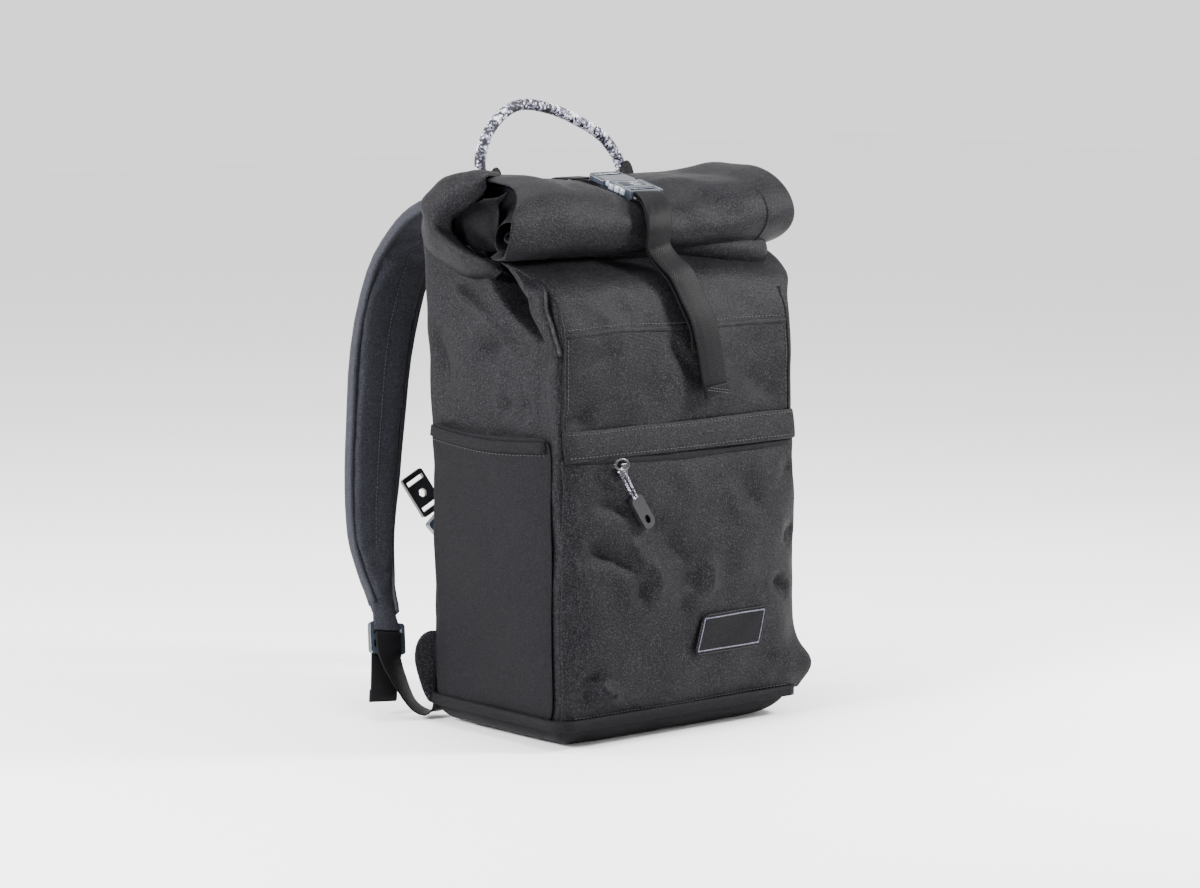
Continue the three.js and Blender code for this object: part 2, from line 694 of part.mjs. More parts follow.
// Ladder lock: a plate with three bars and two slots.
function buildLadderLock(name, sign) {
  const frame = lockFrame(sign);
  const shape = roundedRectangle(lockWidth, lockLength, 3);
  const slotHeight = (lockLength - 3 * barWidth) / 2;
  for (const side of [-1, 1]) {
    const slot = new THREE.Path();
    const x = lowerWidth / 2 + 0.8;
    const low = side * (barWidth / 2 + slotHeight / 2) - slotHeight / 2;
    slot.moveTo(-x, low);
    slot.lineTo(x, low);
    slot.lineTo(x, low + slotHeight);
    slot.lineTo(-x, low + slotHeight);
    shape.holes.push(slot);
  }
  const depth = lockThickness;
  const geometry = new THREE.ExtrudeGeometry(shape, { depth, bevelEnabled: false, curveSegments: 3 });
  geometry.translate(0, 0, -depth / 2);
  const through = frame.across.clone().cross(frame.down);
  geometry.applyMatrix4(new THREE.Matrix4().makeBasis(frame.across, frame.down, through));
  geometry.translate(frame.middle.x, frame.middle.y, frame.middle.z);
  addPiece(name, geometry, slatePlastic);
}

// Lower webbing: from the back seam down in a slack loop, up behind the lock, over its middle bar and
// down again as a hemmed tail.
function buildLowerWebbing(name, sign) {
  const frame = lockFrame(sign);
  const behind = -(lockThickness / 2 + webbingThickness / 2 + 0.9);
  const root = backFace + seam + webbingThickness / 2 + 0.3;
  const side = (x) => sign * (halfWidth + x);
  const points = [
    point(side(-15), root, 40),
    point(side(-15), root + 0.6, 26),
    point(side(-11), root + 5, 11),
    point(side(-3), root + 12, 4.6),
    point(side(6), root + 19, 10),
    point(side(12), root + 23, 22),
    inLock(frame, 0, lockLength / 2 + 5, behind - 1.9),
    inLock(frame, 0, 4, behind),
    inLock(frame, 0, -barWidth / 2 - 1.5, behind + 0.6),
    inLock(frame, 0, -barWidth / 2 - 3.2, 0),
    inLock(frame, 0, -barWidth / 2 - 1.5, -behind - 0.6),
    inLock(frame, 0, 3, -behind),
    inLock(frame, 0, lockLength / 2 + 3, 1.2 - behind),
    inLock(frame, sign * -2, lockLength + 8, 7 - behind),
  ];
  const level = point(1, 0, 0);
  const turned = point(0.8, -0.6 * sign, 0);
  const overLock = Array.from({ length: 4 }, () => frame.across);
  const directions = [level, level, turned, turned, level, ...overLock];
  addPiece(name, webbing(points, lowerWidth, directions, 40), blackWeb);
}

// Wing tab: a folded triangle of cloth that stands out of the back edge above the lower webbing.
function buildWingTab(name, sign) {
  const shape = [
    { rise: 15, root: 0, reach: 8 },
    { rise: 32, root: 0, reach: 16 },
    { rise: 52, root: 0, reach: 22 },
    { rise: 70, root: 0, reach: 19 },
    { rise: 77, root: 0, reach: 8 },
  ];
  const clearance = 0.7;
  const footX = halfWidth + sideSplay * sideRows[0].splay - cornerRadius * 0.3 + clearance;
  const footY = backFace - cornerRadius * 0.3 + clearance;
  const gridAt = (height) =>
    shape.map((row) =>
      [0, 0.5, 1].map((share) => {
        const x = footX + row.reach * share * 0.93;
        const y = footY + row.reach * share * 0.35 + height;
        return point(sign * x, y, row.rise);
      }),
    );
  addPiece(name, sheet(gridAt(0), gridAt(foldedCloth)), heather);
}

// Haul loop: one rope over the top of the back, with both ends held behind its tabs.
const ropeRoute = [
  { across: -0.46, rise: 0 },
  { across: -0.49, rise: 0.16 },
  { across: -0.5, rise: 0.36 },
  { across: -0.44, rise: 0.66 },
  { across: -0.33, rise: 0.88 },
  { across: -0.19, rise: 0.97 },
  { across: 0.01, rise: 0.9 },
  { across: 0.2, rise: 0.75 },
  { across: 0.37, rise: 0.56 },
  { across: 0.48, rise: 0.33 },
  { across: 0.52, rise: 0.14 },
  { across: 0.52, rise: 0 },
];
const ropeMiddle = 5;
const ropeFoot = strapRoot * 1.008 + strapThickness / 2 + 9;
const tabThickness = 2.4;
const tabFace = backFace + seam + tabThickness + 0.2;

function buildHaulLoop() {
  const y = tabFace + seam + ropeDiameter / 2;
  const route = ropeRoute.map((row) =>
    point(ropeMiddle + ropeSpan * row.across, y, ropeFoot + ropeRise * row.rise),
  );
  const path = new THREE.CatmullRomCurve3(route, false, "centripetal");
  const shape = new THREE.Shape();
  shape.absarc(0, 0, ropeDiameter / 2, 0, 2 * Math.PI);
  const geometry = new THREE.ExtrudeGeometry(shape, { extrudePath: path, steps: 36, curveSegments: 4 });
  addPiece("haul_loop", geometry, fleckedRope);
}

// Haul tabs: triangles of folded cloth sewn to the back panel in front of each rope end.
function buildHaulTab(name, end, lean) {
  const middle = ropeMiddle + ropeSpan * end;
  const bottom = backHeight - 7;
  const top = backHeight + 14;
  const shape = new THREE.Shape();
  shape.moveTo(middle - 17, bottom);
  shape.lineTo(middle + 17, bottom);
  shape.lineTo(middle + lean + 7, top);
  shape.lineTo(middle + lean - 7, top);
  const geometry = new THREE.ExtrudeGeometry(shape, { depth: tabThickness, bevelEnabled: false });
  geometry.rotateX(Math.PI / 2);
  geometry.translate(0, backFace + seam + tabThickness + 0.1, 0);
  addPiece(name, geometry, heather);
}

// Closure: the anchor webbing is sewn to the shoulder seam, runs over the roll to the buckle's bar,
// and its free tail lies on it and hangs past the seam. The back webbing holds the other half.
const closureX = { seam: 21, roll: 14, buckle: 6 };
const buckleLength = 58;
const buckleTilt = 0.24;
const buckleLift = 2.4;
const pinchStation = { across: 0.53, lift: 0, pinch: 1 };

function onRoll(x, share, height) {
  const at = rollPoint(pinchStation, share, foldedCloth / 2 + height);
  at.x = x;
  return at;
}

function buildClosure() {
  const half = webbingThickness / 2;
  const lift = half + 0.5;
  const seamY = frontFace - frontCrown - seam - half - 0.4;
  const route = [
    point(closureX.seam, seamY, shoulderHeight - 22),
    point(closureX.seam, seamY - 0.4, shoulderHeight + 1),
    point(closureX.seam - 3, seamY + 8, shoulderHeight + 22),
    point(closureX.seam - 4.5, seamY + 12.5, shoulderHeight + 36),
    point(closureX.seam - 5, seamY + 20, shoulderHeight + 48),
    onRoll(closureX.roll, 0.43, lift + 1.4),
    onRoll(closureX.roll, 0.405, lift + 0.8),
    onRoll(closureX.roll - 2, 0.375, lift + 0.4),
    onRoll(closureX.roll - 5, 0.34, lift),
    onRoll(closureX.buckle, 0.305, lift),
    inBuckle(-seam - 0.9, -0.6),
  ];
  const level = point(1, 0, 0);
  addPiece("closure_anchor", webbing(route, closureWidth, [level, level], 24), blackWeb);
  const over = webbingThickness + 0.6;
  const tail = [
    onRoll(closureX.buckle, 0.305, lift + over),
    onRoll(closureX.roll - 5, 0.34, lift + over),
    onRoll(closureX.roll - 2, 0.375, lift + over + 0.4),
    onRoll(closureX.roll, 0.405, lift + over + 1),
    onRoll(closureX.roll, 0.43, lift + over + 3.8),
    point(closureX.seam - 5, seamY + 20 - over * 2, shoulderHeight + 49),
    point(closureX.seam - 4.5, seamY + 12.5 - over * 2, shoulderHeight + 36),
    point(closureX.seam - 3, seamY + 8 - over * 1.4, shoulderHeight + 22),
    point(closureX.seam, seamY - over - 0.6, shoulderHeight + 1),
    point(closureX.seam + 4, seamY - over - 3, shoulderHeight - 28),
    point(closureX.seam + 9, seamY - over - 5, shoulderHeight - 58),
  ];
  addPiece("closure_tail", webbing(tail, closureWidth, [level, level], 26), blackWeb);
}

// The front bar of the closure's buckle lies on the front of the roll's top.
function buckleFrame() {
  return onRoll(closureX.buckle, 0.275, buckleThickness / 2 + buckleLift);
}

// A point on the buckle's own middle line: back along it, and up out of it.
function inBuckle(back, rise) {
  const tilt = new THREE.Euler(buckleTilt, 0, 0);
  return point(0, back, rise).applyEuler(tilt).add(buckleFrame());
}

// Buckle: the female half is a sleeve with a bar, and the male half a bar with two sprung arms.
function buildBuckle() {
  const group = new THREE.Group();
  group.position.copy(buckleFrame());
  group.rotation.x = buckleTilt;
  bag.add(group);
  const bodyLength = buckleLength * 0.52;
  const slotLength = 5;
  const barLength = 4;
  const flat = (shape, depth) => {
    const geometry = new THREE.ExtrudeGeometry(shape, {
      depth: depth - 2,
      bevelEnabled: true,
      bevelThickness: 1,
      bevelSize: 1,
      bevelOffset: -1,
      bevelSegments: 1,
      curveSegments: 3,
    });
    geometry.translate(0, 0, -depth / 2 + 1);
    return geometry;
  };
  const female = roundedRectangle(buckleWidth, bodyLength, 3.5);
  const slot = new THREE.Path();
  const slotX = closureWidth / 2 + 0.5;
  const slotY = -bodyLength / 2 + barLength;
  slot.moveTo(-slotX, slotY);
  slot.lineTo(slotX, slotY);
  slot.lineTo(slotX, slotY + slotLength);
  slot.lineTo(-slotX, slotY + slotLength);
  female.holes.push(slot);
  const femalePiece = new THREE.Mesh(flat(female, buckleThickness), slatePlastic);
  femalePiece.name = "buckle_female";
  femalePiece.position.y = bodyLength / 2;
  const maleLength = buckleLength - bodyLength - seam;
  const male = new THREE.Shape();
  const root = maleLength / 2;
  const half = buckleWidth / 2;
  male.moveTo(-half + 5, -root);
  male.lineTo(half - 5, -root);
  male.lineTo(half, -root + 6);
  male.lineTo(half - 0.6, root - 3);
  male.lineTo(half - 2.5, root);
  male.lineTo(-half + 2.5, root);
  male.lineTo(-half + 0.6, root - 3);
  male.lineTo(-half, -root + 6);
  male.closePath();
  const maleSlot = new THREE.Path();
  maleSlot.moveTo(-slotX, root - barLength - slotLength);
  maleSlot.lineTo(slotX, root - barLength - slotLength);
  maleSlot.lineTo(slotX, root - barLength);
  maleSlot.lineTo(-slotX, root - barLength);
  maleSlot.closePath();
  male.holes.push(maleSlot);
  const malePiece = new THREE.Mesh(flat(male, buckleThickness - 2), slatePlastic);
  malePiece.name = "buckle_male";
  malePiece.position.y = bodyLength + seam + maleLength / 2;
  group.add(femalePiece, malePiece);
  const lift = webbingThickness / 2 + 0.5;
  const back = [
    inBuckle(buckleLength + 0.5, -0.6),
    onRoll(closureX.buckle, 0.125, lift + 0.8),
    onRoll(closureX.buckle, 0.085, lift),
    onRoll(closureX.buckle, 0.05, lift + 0.4),
  ];
  const level = point(1, 0, 0);
  addPiece("closure_back_web", webbing(back, closureWidth, [level, level], 8), blackWeb);
}

// Chest strap: a slider on each shoulder strap, and webbing that sags between them with its buckle.
function sternumEnd(sign) {
  const curve = strapCurve(sign);
  const at = curve.getPoint(0.66);
  at.x -= sign * (strapWidth / 2 + 12.5);
  return at;
}

function buildSternum() {
  const sliderLength = 38;
  const sliderWidth = 23;
  const sliderThickness = 4;
  const fall = point(0.42, -0.3, -0.86).normalize();
  const holder = (name, sign) => {
    const start = sternumEnd(sign);
    const down = point(-sign * fall.x, fall.y, fall.z);
    const out = point(0, 1, 0).addScaledVector(down, -down.y).normalize();
    const across = down.clone().cross(out);
    const middle = start.clone().addScaledVector(down, sliderLength / 2 - 6);
    const shape = roundedRectangle(sliderWidth, sliderLength, 2.5);
    for (const side of [-1, 1]) {
      const slot = new THREE.Path();
      const y = side * (sliderLength / 2 - 6.5);
      slot.moveTo(-9, y - 2);
      slot.lineTo(9, y - 2);
      slot.lineTo(9, y + 2);
      slot.lineTo(-9, y + 2);
      shape.holes.push(slot);
    }
    const hole = new THREE.Path();
    hole.absarc(0, 0, 4, 0, 2 * Math.PI);
    shape.holes.push(hole);
    const depth = sliderThickness;
    const geometry = new THREE.ExtrudeGeometry(shape, { depth, bevelEnabled: false, curveSegments: 3 });
    geometry.translate(0, 0, -depth / 2);
    geometry.applyMatrix4(new THREE.Matrix4().makeBasis(across, down.clone(), across.clone().cross(down)));
    geometry.translate(middle.x, middle.y, middle.z);
    addPiece(name, geometry, blackPlastic);
    return middle.clone().addScaledVector(down, sliderLength / 2 + 3);
  };
  const left = holder("sternum_slider_left", -1);
  const right = holder("sternum_slider_right", 1);
  const buckleAt = (name, from, down, length, width, thickness) => {
    const out = point(0, 1, 0).addScaledVector(down, -down.y).normalize();
    const across = down.clone().cross(out);
    const shape = roundedRectangle(width, length, 3);
    const depth = thickness;
    const geometry = new THREE.ExtrudeGeometry(shape, { depth, bevelEnabled: false, curveSegments: 3 });
    geometry.translate(0, 0, -depth / 2);
    geometry.applyMatrix4(new THREE.Matrix4().makeBasis(across, down.clone(), across.clone().cross(down)));
    const middle = from.clone().addScaledVector(down, length / 2);
    geometry.translate(middle.x, middle.y, middle.z);
    addPiece(name, geometry, slatePlastic);
    return from.clone().addScaledVector(down, length + seam);
  };
  const turn = point(0.62, -0.22, -0.75).normalize();
  const femaleEnd = buckleAt("sternum_buckle_female", left, turn, 26, 25, 7);
  const maleEnd = buckleAt("sternum_buckle_male", femaleEnd, turn, 12, 23, 5);
  const sag = left.z - 46;
  const route = [
    maleEnd.clone().addScaledVector(turn, seam),
    maleEnd.clone().addScaledVector(turn, 7),
    point(-20, maleEnd.y - 3, sag + 1),
    point(8, maleEnd.y - 3, sag - 4),
    point(34, maleEnd.y - 1, sag + 6),
    right.clone().add(point(-12, -1, -21)),
    right.clone().add(point(0, 0, 1.6)),
  ];
  const level = point(0, 1, 0);
  const across = (down) => level.clone().addScaledVector(down, -down.y).cross(down).negate().normalize();
  const rightFall = point(fall.x, -fall.y, -fall.z);
  const directions = [turn, point(0.8, 0, -0.55), point(1, 0, 0), point(0.8, 0, 0.6), rightFall].map(across);
  addPiece("sternum_web", webbing(route, sternumWidth, directions, 20), blackWeb);
}

buildBody();
buildBase();
buildRoll();
buildFrontPocket();
buildFlap();
buildLabel();
buildZipPull();
buildBackPad();
buildHaulLoop();
buildHaulTab("haul_tab_left", ropeRoute[0].across, 6);
buildHaulTab("haul_tab_right", ropeRoute[ropeRoute.length - 1].across, 2);
buildClosure();
buildBuckle();
buildSternum();
for (const [side, sign] of Object.entries({ left: -1, right: 1 })) {
  buildSidePocket(`side_pocket_${side}`, sign);
  buildShoulderStrap(`shoulder_strap_${side}`, sign);
  buildLadderLock(`ladder_lock_${side}`, sign);
  buildLowerWebbing(`lower_webbing_${side}`, sign);
  buildWingTab(`wing_tab_${side}`, sign);
}
bag.name = "rolltop_backpack";

export default bag;
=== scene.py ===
import json
import math

import bmesh
import bpy
from mathutils import Matrix, Vector, noise
from mathutils.bvhtree import BVHTree

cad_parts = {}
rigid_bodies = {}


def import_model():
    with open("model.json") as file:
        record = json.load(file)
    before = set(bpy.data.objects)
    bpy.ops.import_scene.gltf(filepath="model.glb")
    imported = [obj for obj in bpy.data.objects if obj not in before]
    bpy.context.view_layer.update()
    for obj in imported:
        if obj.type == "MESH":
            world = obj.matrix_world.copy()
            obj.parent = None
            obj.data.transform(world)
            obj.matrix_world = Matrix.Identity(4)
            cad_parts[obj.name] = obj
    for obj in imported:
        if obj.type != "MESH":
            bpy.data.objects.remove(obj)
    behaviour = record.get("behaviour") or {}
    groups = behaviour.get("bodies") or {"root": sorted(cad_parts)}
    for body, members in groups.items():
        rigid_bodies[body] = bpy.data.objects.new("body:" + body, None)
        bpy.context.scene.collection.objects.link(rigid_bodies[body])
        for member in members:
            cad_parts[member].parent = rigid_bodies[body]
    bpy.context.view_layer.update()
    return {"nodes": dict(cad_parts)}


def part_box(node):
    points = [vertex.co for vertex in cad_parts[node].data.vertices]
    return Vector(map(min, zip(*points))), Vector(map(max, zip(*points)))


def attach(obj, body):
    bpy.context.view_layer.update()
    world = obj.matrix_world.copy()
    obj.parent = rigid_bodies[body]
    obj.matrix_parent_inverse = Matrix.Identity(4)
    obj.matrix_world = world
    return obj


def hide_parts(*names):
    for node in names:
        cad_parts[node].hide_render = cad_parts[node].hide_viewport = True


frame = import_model()


# Room: a pale floor under an even pale sky, and soft studio light: a window light from the right, weaker
# ones from the left and the top, and one from behind that rims the bag's left edge.
view_azimuth = math.radians(-40)
view_height = math.radians(7.7)
view_distance = 3.4
view_target = Vector((-0.016, 0, 0.233))


def aimed(thing, place, target):
    """Puts a lamp or camera at a place and turns it to a target."""
    thing.location = place
    thing.rotation_euler = (Vector(target) - Vector(place)).to_track_quat("-Z", "Y").to_euler()
    bpy.context.scene.collection.objects.link(thing)
    return thing


lens = bpy.data.cameras.new("photo_camera")
lens.lens = 122.4
lens.sensor_width = 36
lens.clip_end = 50
flat_way = math.cos(view_height)
view_from = view_target + view_distance * Vector(
    (math.sin(view_azimuth) * flat_way, -math.cos(view_azimuth) * flat_way, math.sin(view_height))
)
bpy.context.scene.camera = aimed(bpy.data.objects.new("photo_camera", lens), view_from, view_target)


def window_light(name, place, target, size, power, tint):
    """A square soft light."""
    lamp = bpy.data.lights.new(name, "AREA")
    lamp.size = size
    lamp.energy = power
    lamp.color = tint
    return aimed(bpy.data.objects.new(name, lamp), place, target)


window_light("right_window", (0.92, -0.8, 0.98), (0, 0, 0.22), 0.3, 52, (1, 0.98, 0.98))
window_light("left_window", (-2.0, -0.1, 1.1), (0, 0, 0.3), 0.6, 112, (0.98, 0.98, 1))
window_light("top_window", (-0.1, 0.2, 1.9), (0, 0, 0.2), 0.7, 40, (1, 1, 1))
window_light("back_strip", (-1.3, 1.3, 0.9), (-0.05, 0.05, 0.3), 0.5, 26, (1, 1, 1))

sky = bpy.data.worlds.new("pale_room")
sky.use_nodes = True
sky.node_tree.nodes["Background"].inputs["Color"].default_value = (1, 1, 1, 1)
sky.node_tree.nodes["Background"].inputs["Strength"].default_value = 1.5
bpy.context.scene.world = sky

floor_bm = bmesh.new()
bmesh.ops.create_grid(floor_bm, x_segments=1, y_segments=1, size=6)
floor_mesh = bpy.data.meshes.new("floor")
floor_bm.to_mesh(floor_mesh)
floor_bm.free()
floor = bpy.data.objects.new("floor", floor_mesh)
bpy.context.scene.collection.objects.link(floor)
floor_paint = bpy.data.materials.new("white_floor")
floor_paint.use_nodes = True
floor_paint.node_tree.nodes["Principled BSDF"].inputs["Base Color"].default_value = (0.95, 0.95, 0.95, 1)
floor_paint.node_tree.nodes["Principled BSDF"].inputs["Roughness"].default_value = 0.6
floor_mesh.materials.append(floor_paint)


# Bag shell: one tube of heathered polyester, about 2 mm thick, sewn to the base below. Its upper part
# leans back on the front, folds in at both sides and ends in a cuff that turns out. It stands by itself.
def cloth_nodes(material):
    """The principled shader of a new material with its node tree, and its object coordinates."""
    material.use_nodes = True
    tree = material.node_tree
    shader = tree.nodes["Principled BSDF"]
    place = tree.nodes.new("ShaderNodeTexCoord")
    return tree, shader, place


def joined(tree, kind, **inputs):
    """A new shader node. Each input, by its name or as i0, i1, is set to a value or linked to a socket."""
    node = tree.nodes.new(kind)
    for label, value in inputs.items():
        numbered = label[0] == "i" and label[1:].isdigit()
        socket = node.inputs[int(label[1:])] if numbered else node.inputs[label]
        if isinstance(value, bpy.types.NodeSocket):
            tree.links.new(value, socket)
        else:
            socket.default_value = value
    return node


def ramp(tree, source, stops):
    """A colour ramp from a value, with stops of place and colour."""
    node = tree.nodes.new("ShaderNodeValToRGB")
    tree.links.new(source, node.inputs["Fac"])
    for order, (place, colour) in enumerate(stops):
        stop = node.color_ramp.elements[order] if order < 2 else node.color_ramp.elements.new(place)
        stop.position = place
        stop.color = (*colour, 1)
    return node.outputs["Color"]


def woven_cloth(name, dark, base, fleck, fleck_share, thread, relief, sheen, roughness, gloss=0.07):
    """A plain weave: crossed threads as relief, flecked yarn, and slow change of tone over a panel."""
    material = bpy.data.materials.new(name)
    tree, shader, place = cloth_nodes(material)
    weave = tree.nodes.new("ShaderNodeUVMap")
    weave.uv_map = "weave"
    spot = place.outputs["Object"]
    yarn = joined(tree, "ShaderNodeTexNoise", Vector=spot, Scale=850.0, Detail=2.0, Roughness=0.7)
    body = ramp(tree, yarn.outputs["Fac"], [(0.36, dark), (0.5, base), (1 - fleck_share, fleck)])
    drift = joined(tree, "ShaderNodeTexNoise", Vector=spot, Scale=14.0, Detail=1.0)
    tone = ramp(tree, drift.outputs["Fac"], [(0.3, (0.9, 0.9, 0.9)), (0.7, (1, 1, 1))])
    tinted = tree.nodes.new("ShaderNodeMix")
    tinted.data_type = "RGBA"
    tinted.blend_type = "MULTIPLY"
    tinted.inputs["Factor"].default_value = 1
    tree.links.new(body, tinted.inputs[6])
    tree.links.new(tone, tinted.inputs[7])
    tree.links.new(tinted.outputs[2], shader.inputs["Base Color"])
    waves = []
    for direction in ("X", "Y"):
        wave = joined(tree, "ShaderNodeTexWave", Vector=weave.outputs["UV"], Scale=0.314 / thread)
        wave.bands_direction = direction
        waves.append(wave.outputs["Fac"])
    crossed = joined(tree, "ShaderNodeMath", i0=waves[0], i1=waves[1])
    crossed.operation = "MAXIMUM"
    height = joined(tree, "ShaderNodeMath", i0=crossed.outputs[0], i1=yarn.outputs["Fac"])
    height.operation = "ADD"
    bump = joined(tree, "ShaderNodeBump", Height=height.outputs[0], Strength=relief, Distance=0.0004)
    tree.links.new(bump.outputs["Normal"], shader.inputs["Normal"])
    shader.inputs["Roughness"].default_value = roughness
    shader.inputs["Specular IOR Level"].default_value = gloss
    shader.inputs["Sheen Weight"].default_value = sheen
    shader.inputs["Sheen Roughness"].default_value = 0.45
    return material


def lay_weave(mesh):
    """A UV map in metres that follows the cloth's panels: each face is unrolled along its main direction."""
    layer = mesh.uv_layers.get("weave") or mesh.uv_layers.new(name="weave")
    for face in mesh.polygons:
        across = [abs(n) for n in face.normal]
        flat = across.index(max(across))
        u, v = [(1, 2), (0, 2), (0, 1)][flat]
        for corner in face.loop_indices:
            place = mesh.vertices[mesh.loops[corner].vertex_index].co
            layer.data[corner].uv = (place[u], place[v])


def piece_from(bm, name, material):
    """A finished piece from a bmesh, smooth shaded, riding on the bag."""
    mesh = bpy.data.meshes.new(name)
    bm.to_mesh(mesh)
    bm.free()
    for face in mesh.polygons:
        face.use_smooth = True
    mesh.materials.append(material)
    piece = bpy.data.objects.new(name, mesh)
    bpy.context.scene.collection.objects.link(piece)
    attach(piece, "root")
    return piece


def settle(piece):
    """Makes a piece's modifiers part of its mesh."""
    graph = bpy.context.evaluated_depsgraph_get()
    mesh = bpy.data.meshes.new_from_object(piece.evaluated_get(graph))
    piece.modifiers.clear()
    piece.data = mesh


def cad_copy(node):
    """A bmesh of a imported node, with its loose triangles merged and paired into four-sided faces."""
    bm = bmesh.new()
    bm.from_mesh(frame["nodes"][node].data)
    bmesh.ops.remove_doubles(bm, verts=bm.verts, dist=1e-5)
    bmesh.ops.join_triangles(
        bm,
        faces=bm.faces,
        angle_face_threshold=math.radians(60),
        angle_shape_threshold=math.radians(100),
    )
    return bm


def soft_copy(node, name, material, levels):
    """A packed cloth node as a finely divided, rounded piece."""
    piece = piece_from(cad_copy(node), name, material)
    rounding = piece.modifiers.new("rounding", "SUBSURF")
    rounding.levels = levels
    rounding.render_levels = levels
    settle(piece)
    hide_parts(node)
    return piece


# The noise starts from a fixed seed, because it otherwise starts from the clock, and each run would differ.
cloth_seed = 7
noise.seed_set(cloth_seed)


def crumple(mesh, size, depth, seed, keep=None):
    """Slow, soft unevenness of cloth; keep gives each point's share of it."""
    for vertex in mesh.vertices:
        place = vertex.co / size + Vector((seed, 3 * seed, 7 * seed))
        share = 1 if keep is None else keep(vertex.co)
        vertex.co += noise.noise_vector(place) * depth * share


def press_folds(mesh, folds):
    """Creases and ridges, in mm: each has a start, an end, a width, and a move for the cloth near it."""
    reach, softness, steepness = 2.6, 0.05, 1.7
    for start, end, width, move in folds:
        start, end, move = Vector(start) / 1000, Vector(end) / 1000, Vector(move) / 1000
        run = end - start
        for vertex in mesh.vertices:
            along = max(0, min(1, (vertex.co - start).dot(run) / run.length_squared))
            gap = (vertex.co - start - run * along).length / (width / 1000)
            if gap < reach:
                taper = min(1, along * 3 + 0.1, (1 - along) * 3 + 0.1)
                crest = math.sqrt(gap * gap + softness) - 0.22
                vertex.co += move * math.exp(-steepness * crest) * taper


def row_at(table, height):
    """A table's values at a height, worked out between the rows below and above it."""
    below, above = [pair for pair in zip(table, table[1:]) if pair[0][0] <= height <= pair[1][0]][0]
    share = (height - below[0]) / (above[0] - below[0])
    return [p + (q - p) * share for p, q in zip(below, above)]


heathered = woven_cloth(
    "heathered_cloth",
    dark=(0.0013, 0.0012, 0.0016),
    base=(0.0036, 0.0034, 0.0043),
    fleck=(0.0215, 0.0206, 0.0245),
    fleck_share=0.32,
    thread=0.0011,
    relief=0.4,
    sheen=0.006,
    roughness=0.5,
    gloss=0.075,
)
shell = soft_copy("bag_body", "bag_shell", heathered, 3)
press_folds(
    shell.data,
    [
        ((-134, 50, 372), (-134, -22, 338), 7.6, (-8.9, 0, 0)),
        ((-134, 14, 312), (-132, -14, 330), 6.8, (8.2, 0, 0)),
        ((-132, -14, 330), (-130, -52, 322), 7.6, (6.6, 0, 0)),
        ((-134, 70, 340), (-134, 55, 285), 10.2, (6.5, 0, 0)),
        ((-131, -8, 268), (-131, -22, 282), 6, (6.2, 0, 0)),
        ((-131, -48, 268), (-131, -36, 284), 6, (6.6, 0, 0)),
        ((-73, -80, 381), (-49, -86, 343), 7.6, (0, 10.3, 0)),
        ((-107, -76, 373), (-63, -86, 346), 7.6, (0, -7.7, 0)),
        ((35, -70, 385), (64, -84, 359), 7.6, (0, 8.9, 0)),
        ((64, -84, 359), (93, -85, 347), 6.8, (0, 7.7, 0)),
        ((-130, -86, 263), (-93, -86, 275), 6.8, (0, 8.9, 0)),
        ((-110, -86, 310), (-60, -86, 325), 7.6, (0, 5.1, 0)),
        ((60, -86, 300), (110, -86, 270), 8.5, (0, 5.1, 0)),
        ((-10, -86, 330), (20, -86, 290), 7.6, (0, 6.5, 0)),
        ((134, 40, 360), (134, -20, 330), 7.6, (8.9, 0, 0)),
        ((132, 10, 300), (131, -30, 322), 6.8, (-7.7, 0, 0)),
        ((131, 30, 280), (131, 0, 268), 6, (-6.5, 0, 0)),
    ],
)
# The V that the left side folds in to, in mm: height, middle from front to back, reach and depth.
valley = [
    (334, -61, 3, 5),
    (343, -51, 9.5, 24),
    (357, -38, 16, 42),
    (370, -30, 22, 48),
    (380, -16, 16, 48),
    (392, -6, 11, 40),
]
for vertex in shell.data.vertices:
    x, y, z = vertex.co * 1000
    if x < -100 and 334 < z < 392:
        _, middle, reach, depth = row_at(valley, z)
        wall = min(1, (-100 - x) / 20)
        vertex.co.x += depth * math.exp(-(((y - middle) / reach) ** 6)) * wall / 1000
for size, depth, seed in ((0.06, 0.0035, 2), (0.024, 0.0012, 5)):
    crumple(shell.data, size, depth, seed, lambda at: 0 if at.z < 0.03 else 1)
lay_weave(shell.data)


def surface_of(piece):
    """A piece's faces, to lay seams and stitches on."""
    mesh = piece.data
    return BVHTree.FromPolygons([v.co for v in mesh.vertices], [tuple(p.vertices) for p in mesh.polygons])


def laid_on(surface, points, toward, spacing):
    """Places about a spacing apart on a surface, seen from a direction, under a line of points in mm."""
    toward = Vector(toward).normalized()
    line = [Vector(p) / 1000 for p in points]
    spots = []
    for start, end in zip(line, line[1:]):
        count = max(1, round((end - start).length / spacing))
        for step in range(count):
            spots.append(start.lerp(end, step / count))
    spots.append(line[-1])
    found = []
    for spot in spots:
        place, normal, _, _ = surface.ray_cast(spot + toward * 0.05, -toward, 0.12)
        if place is not None:
            found.append((place, normal))
    return found


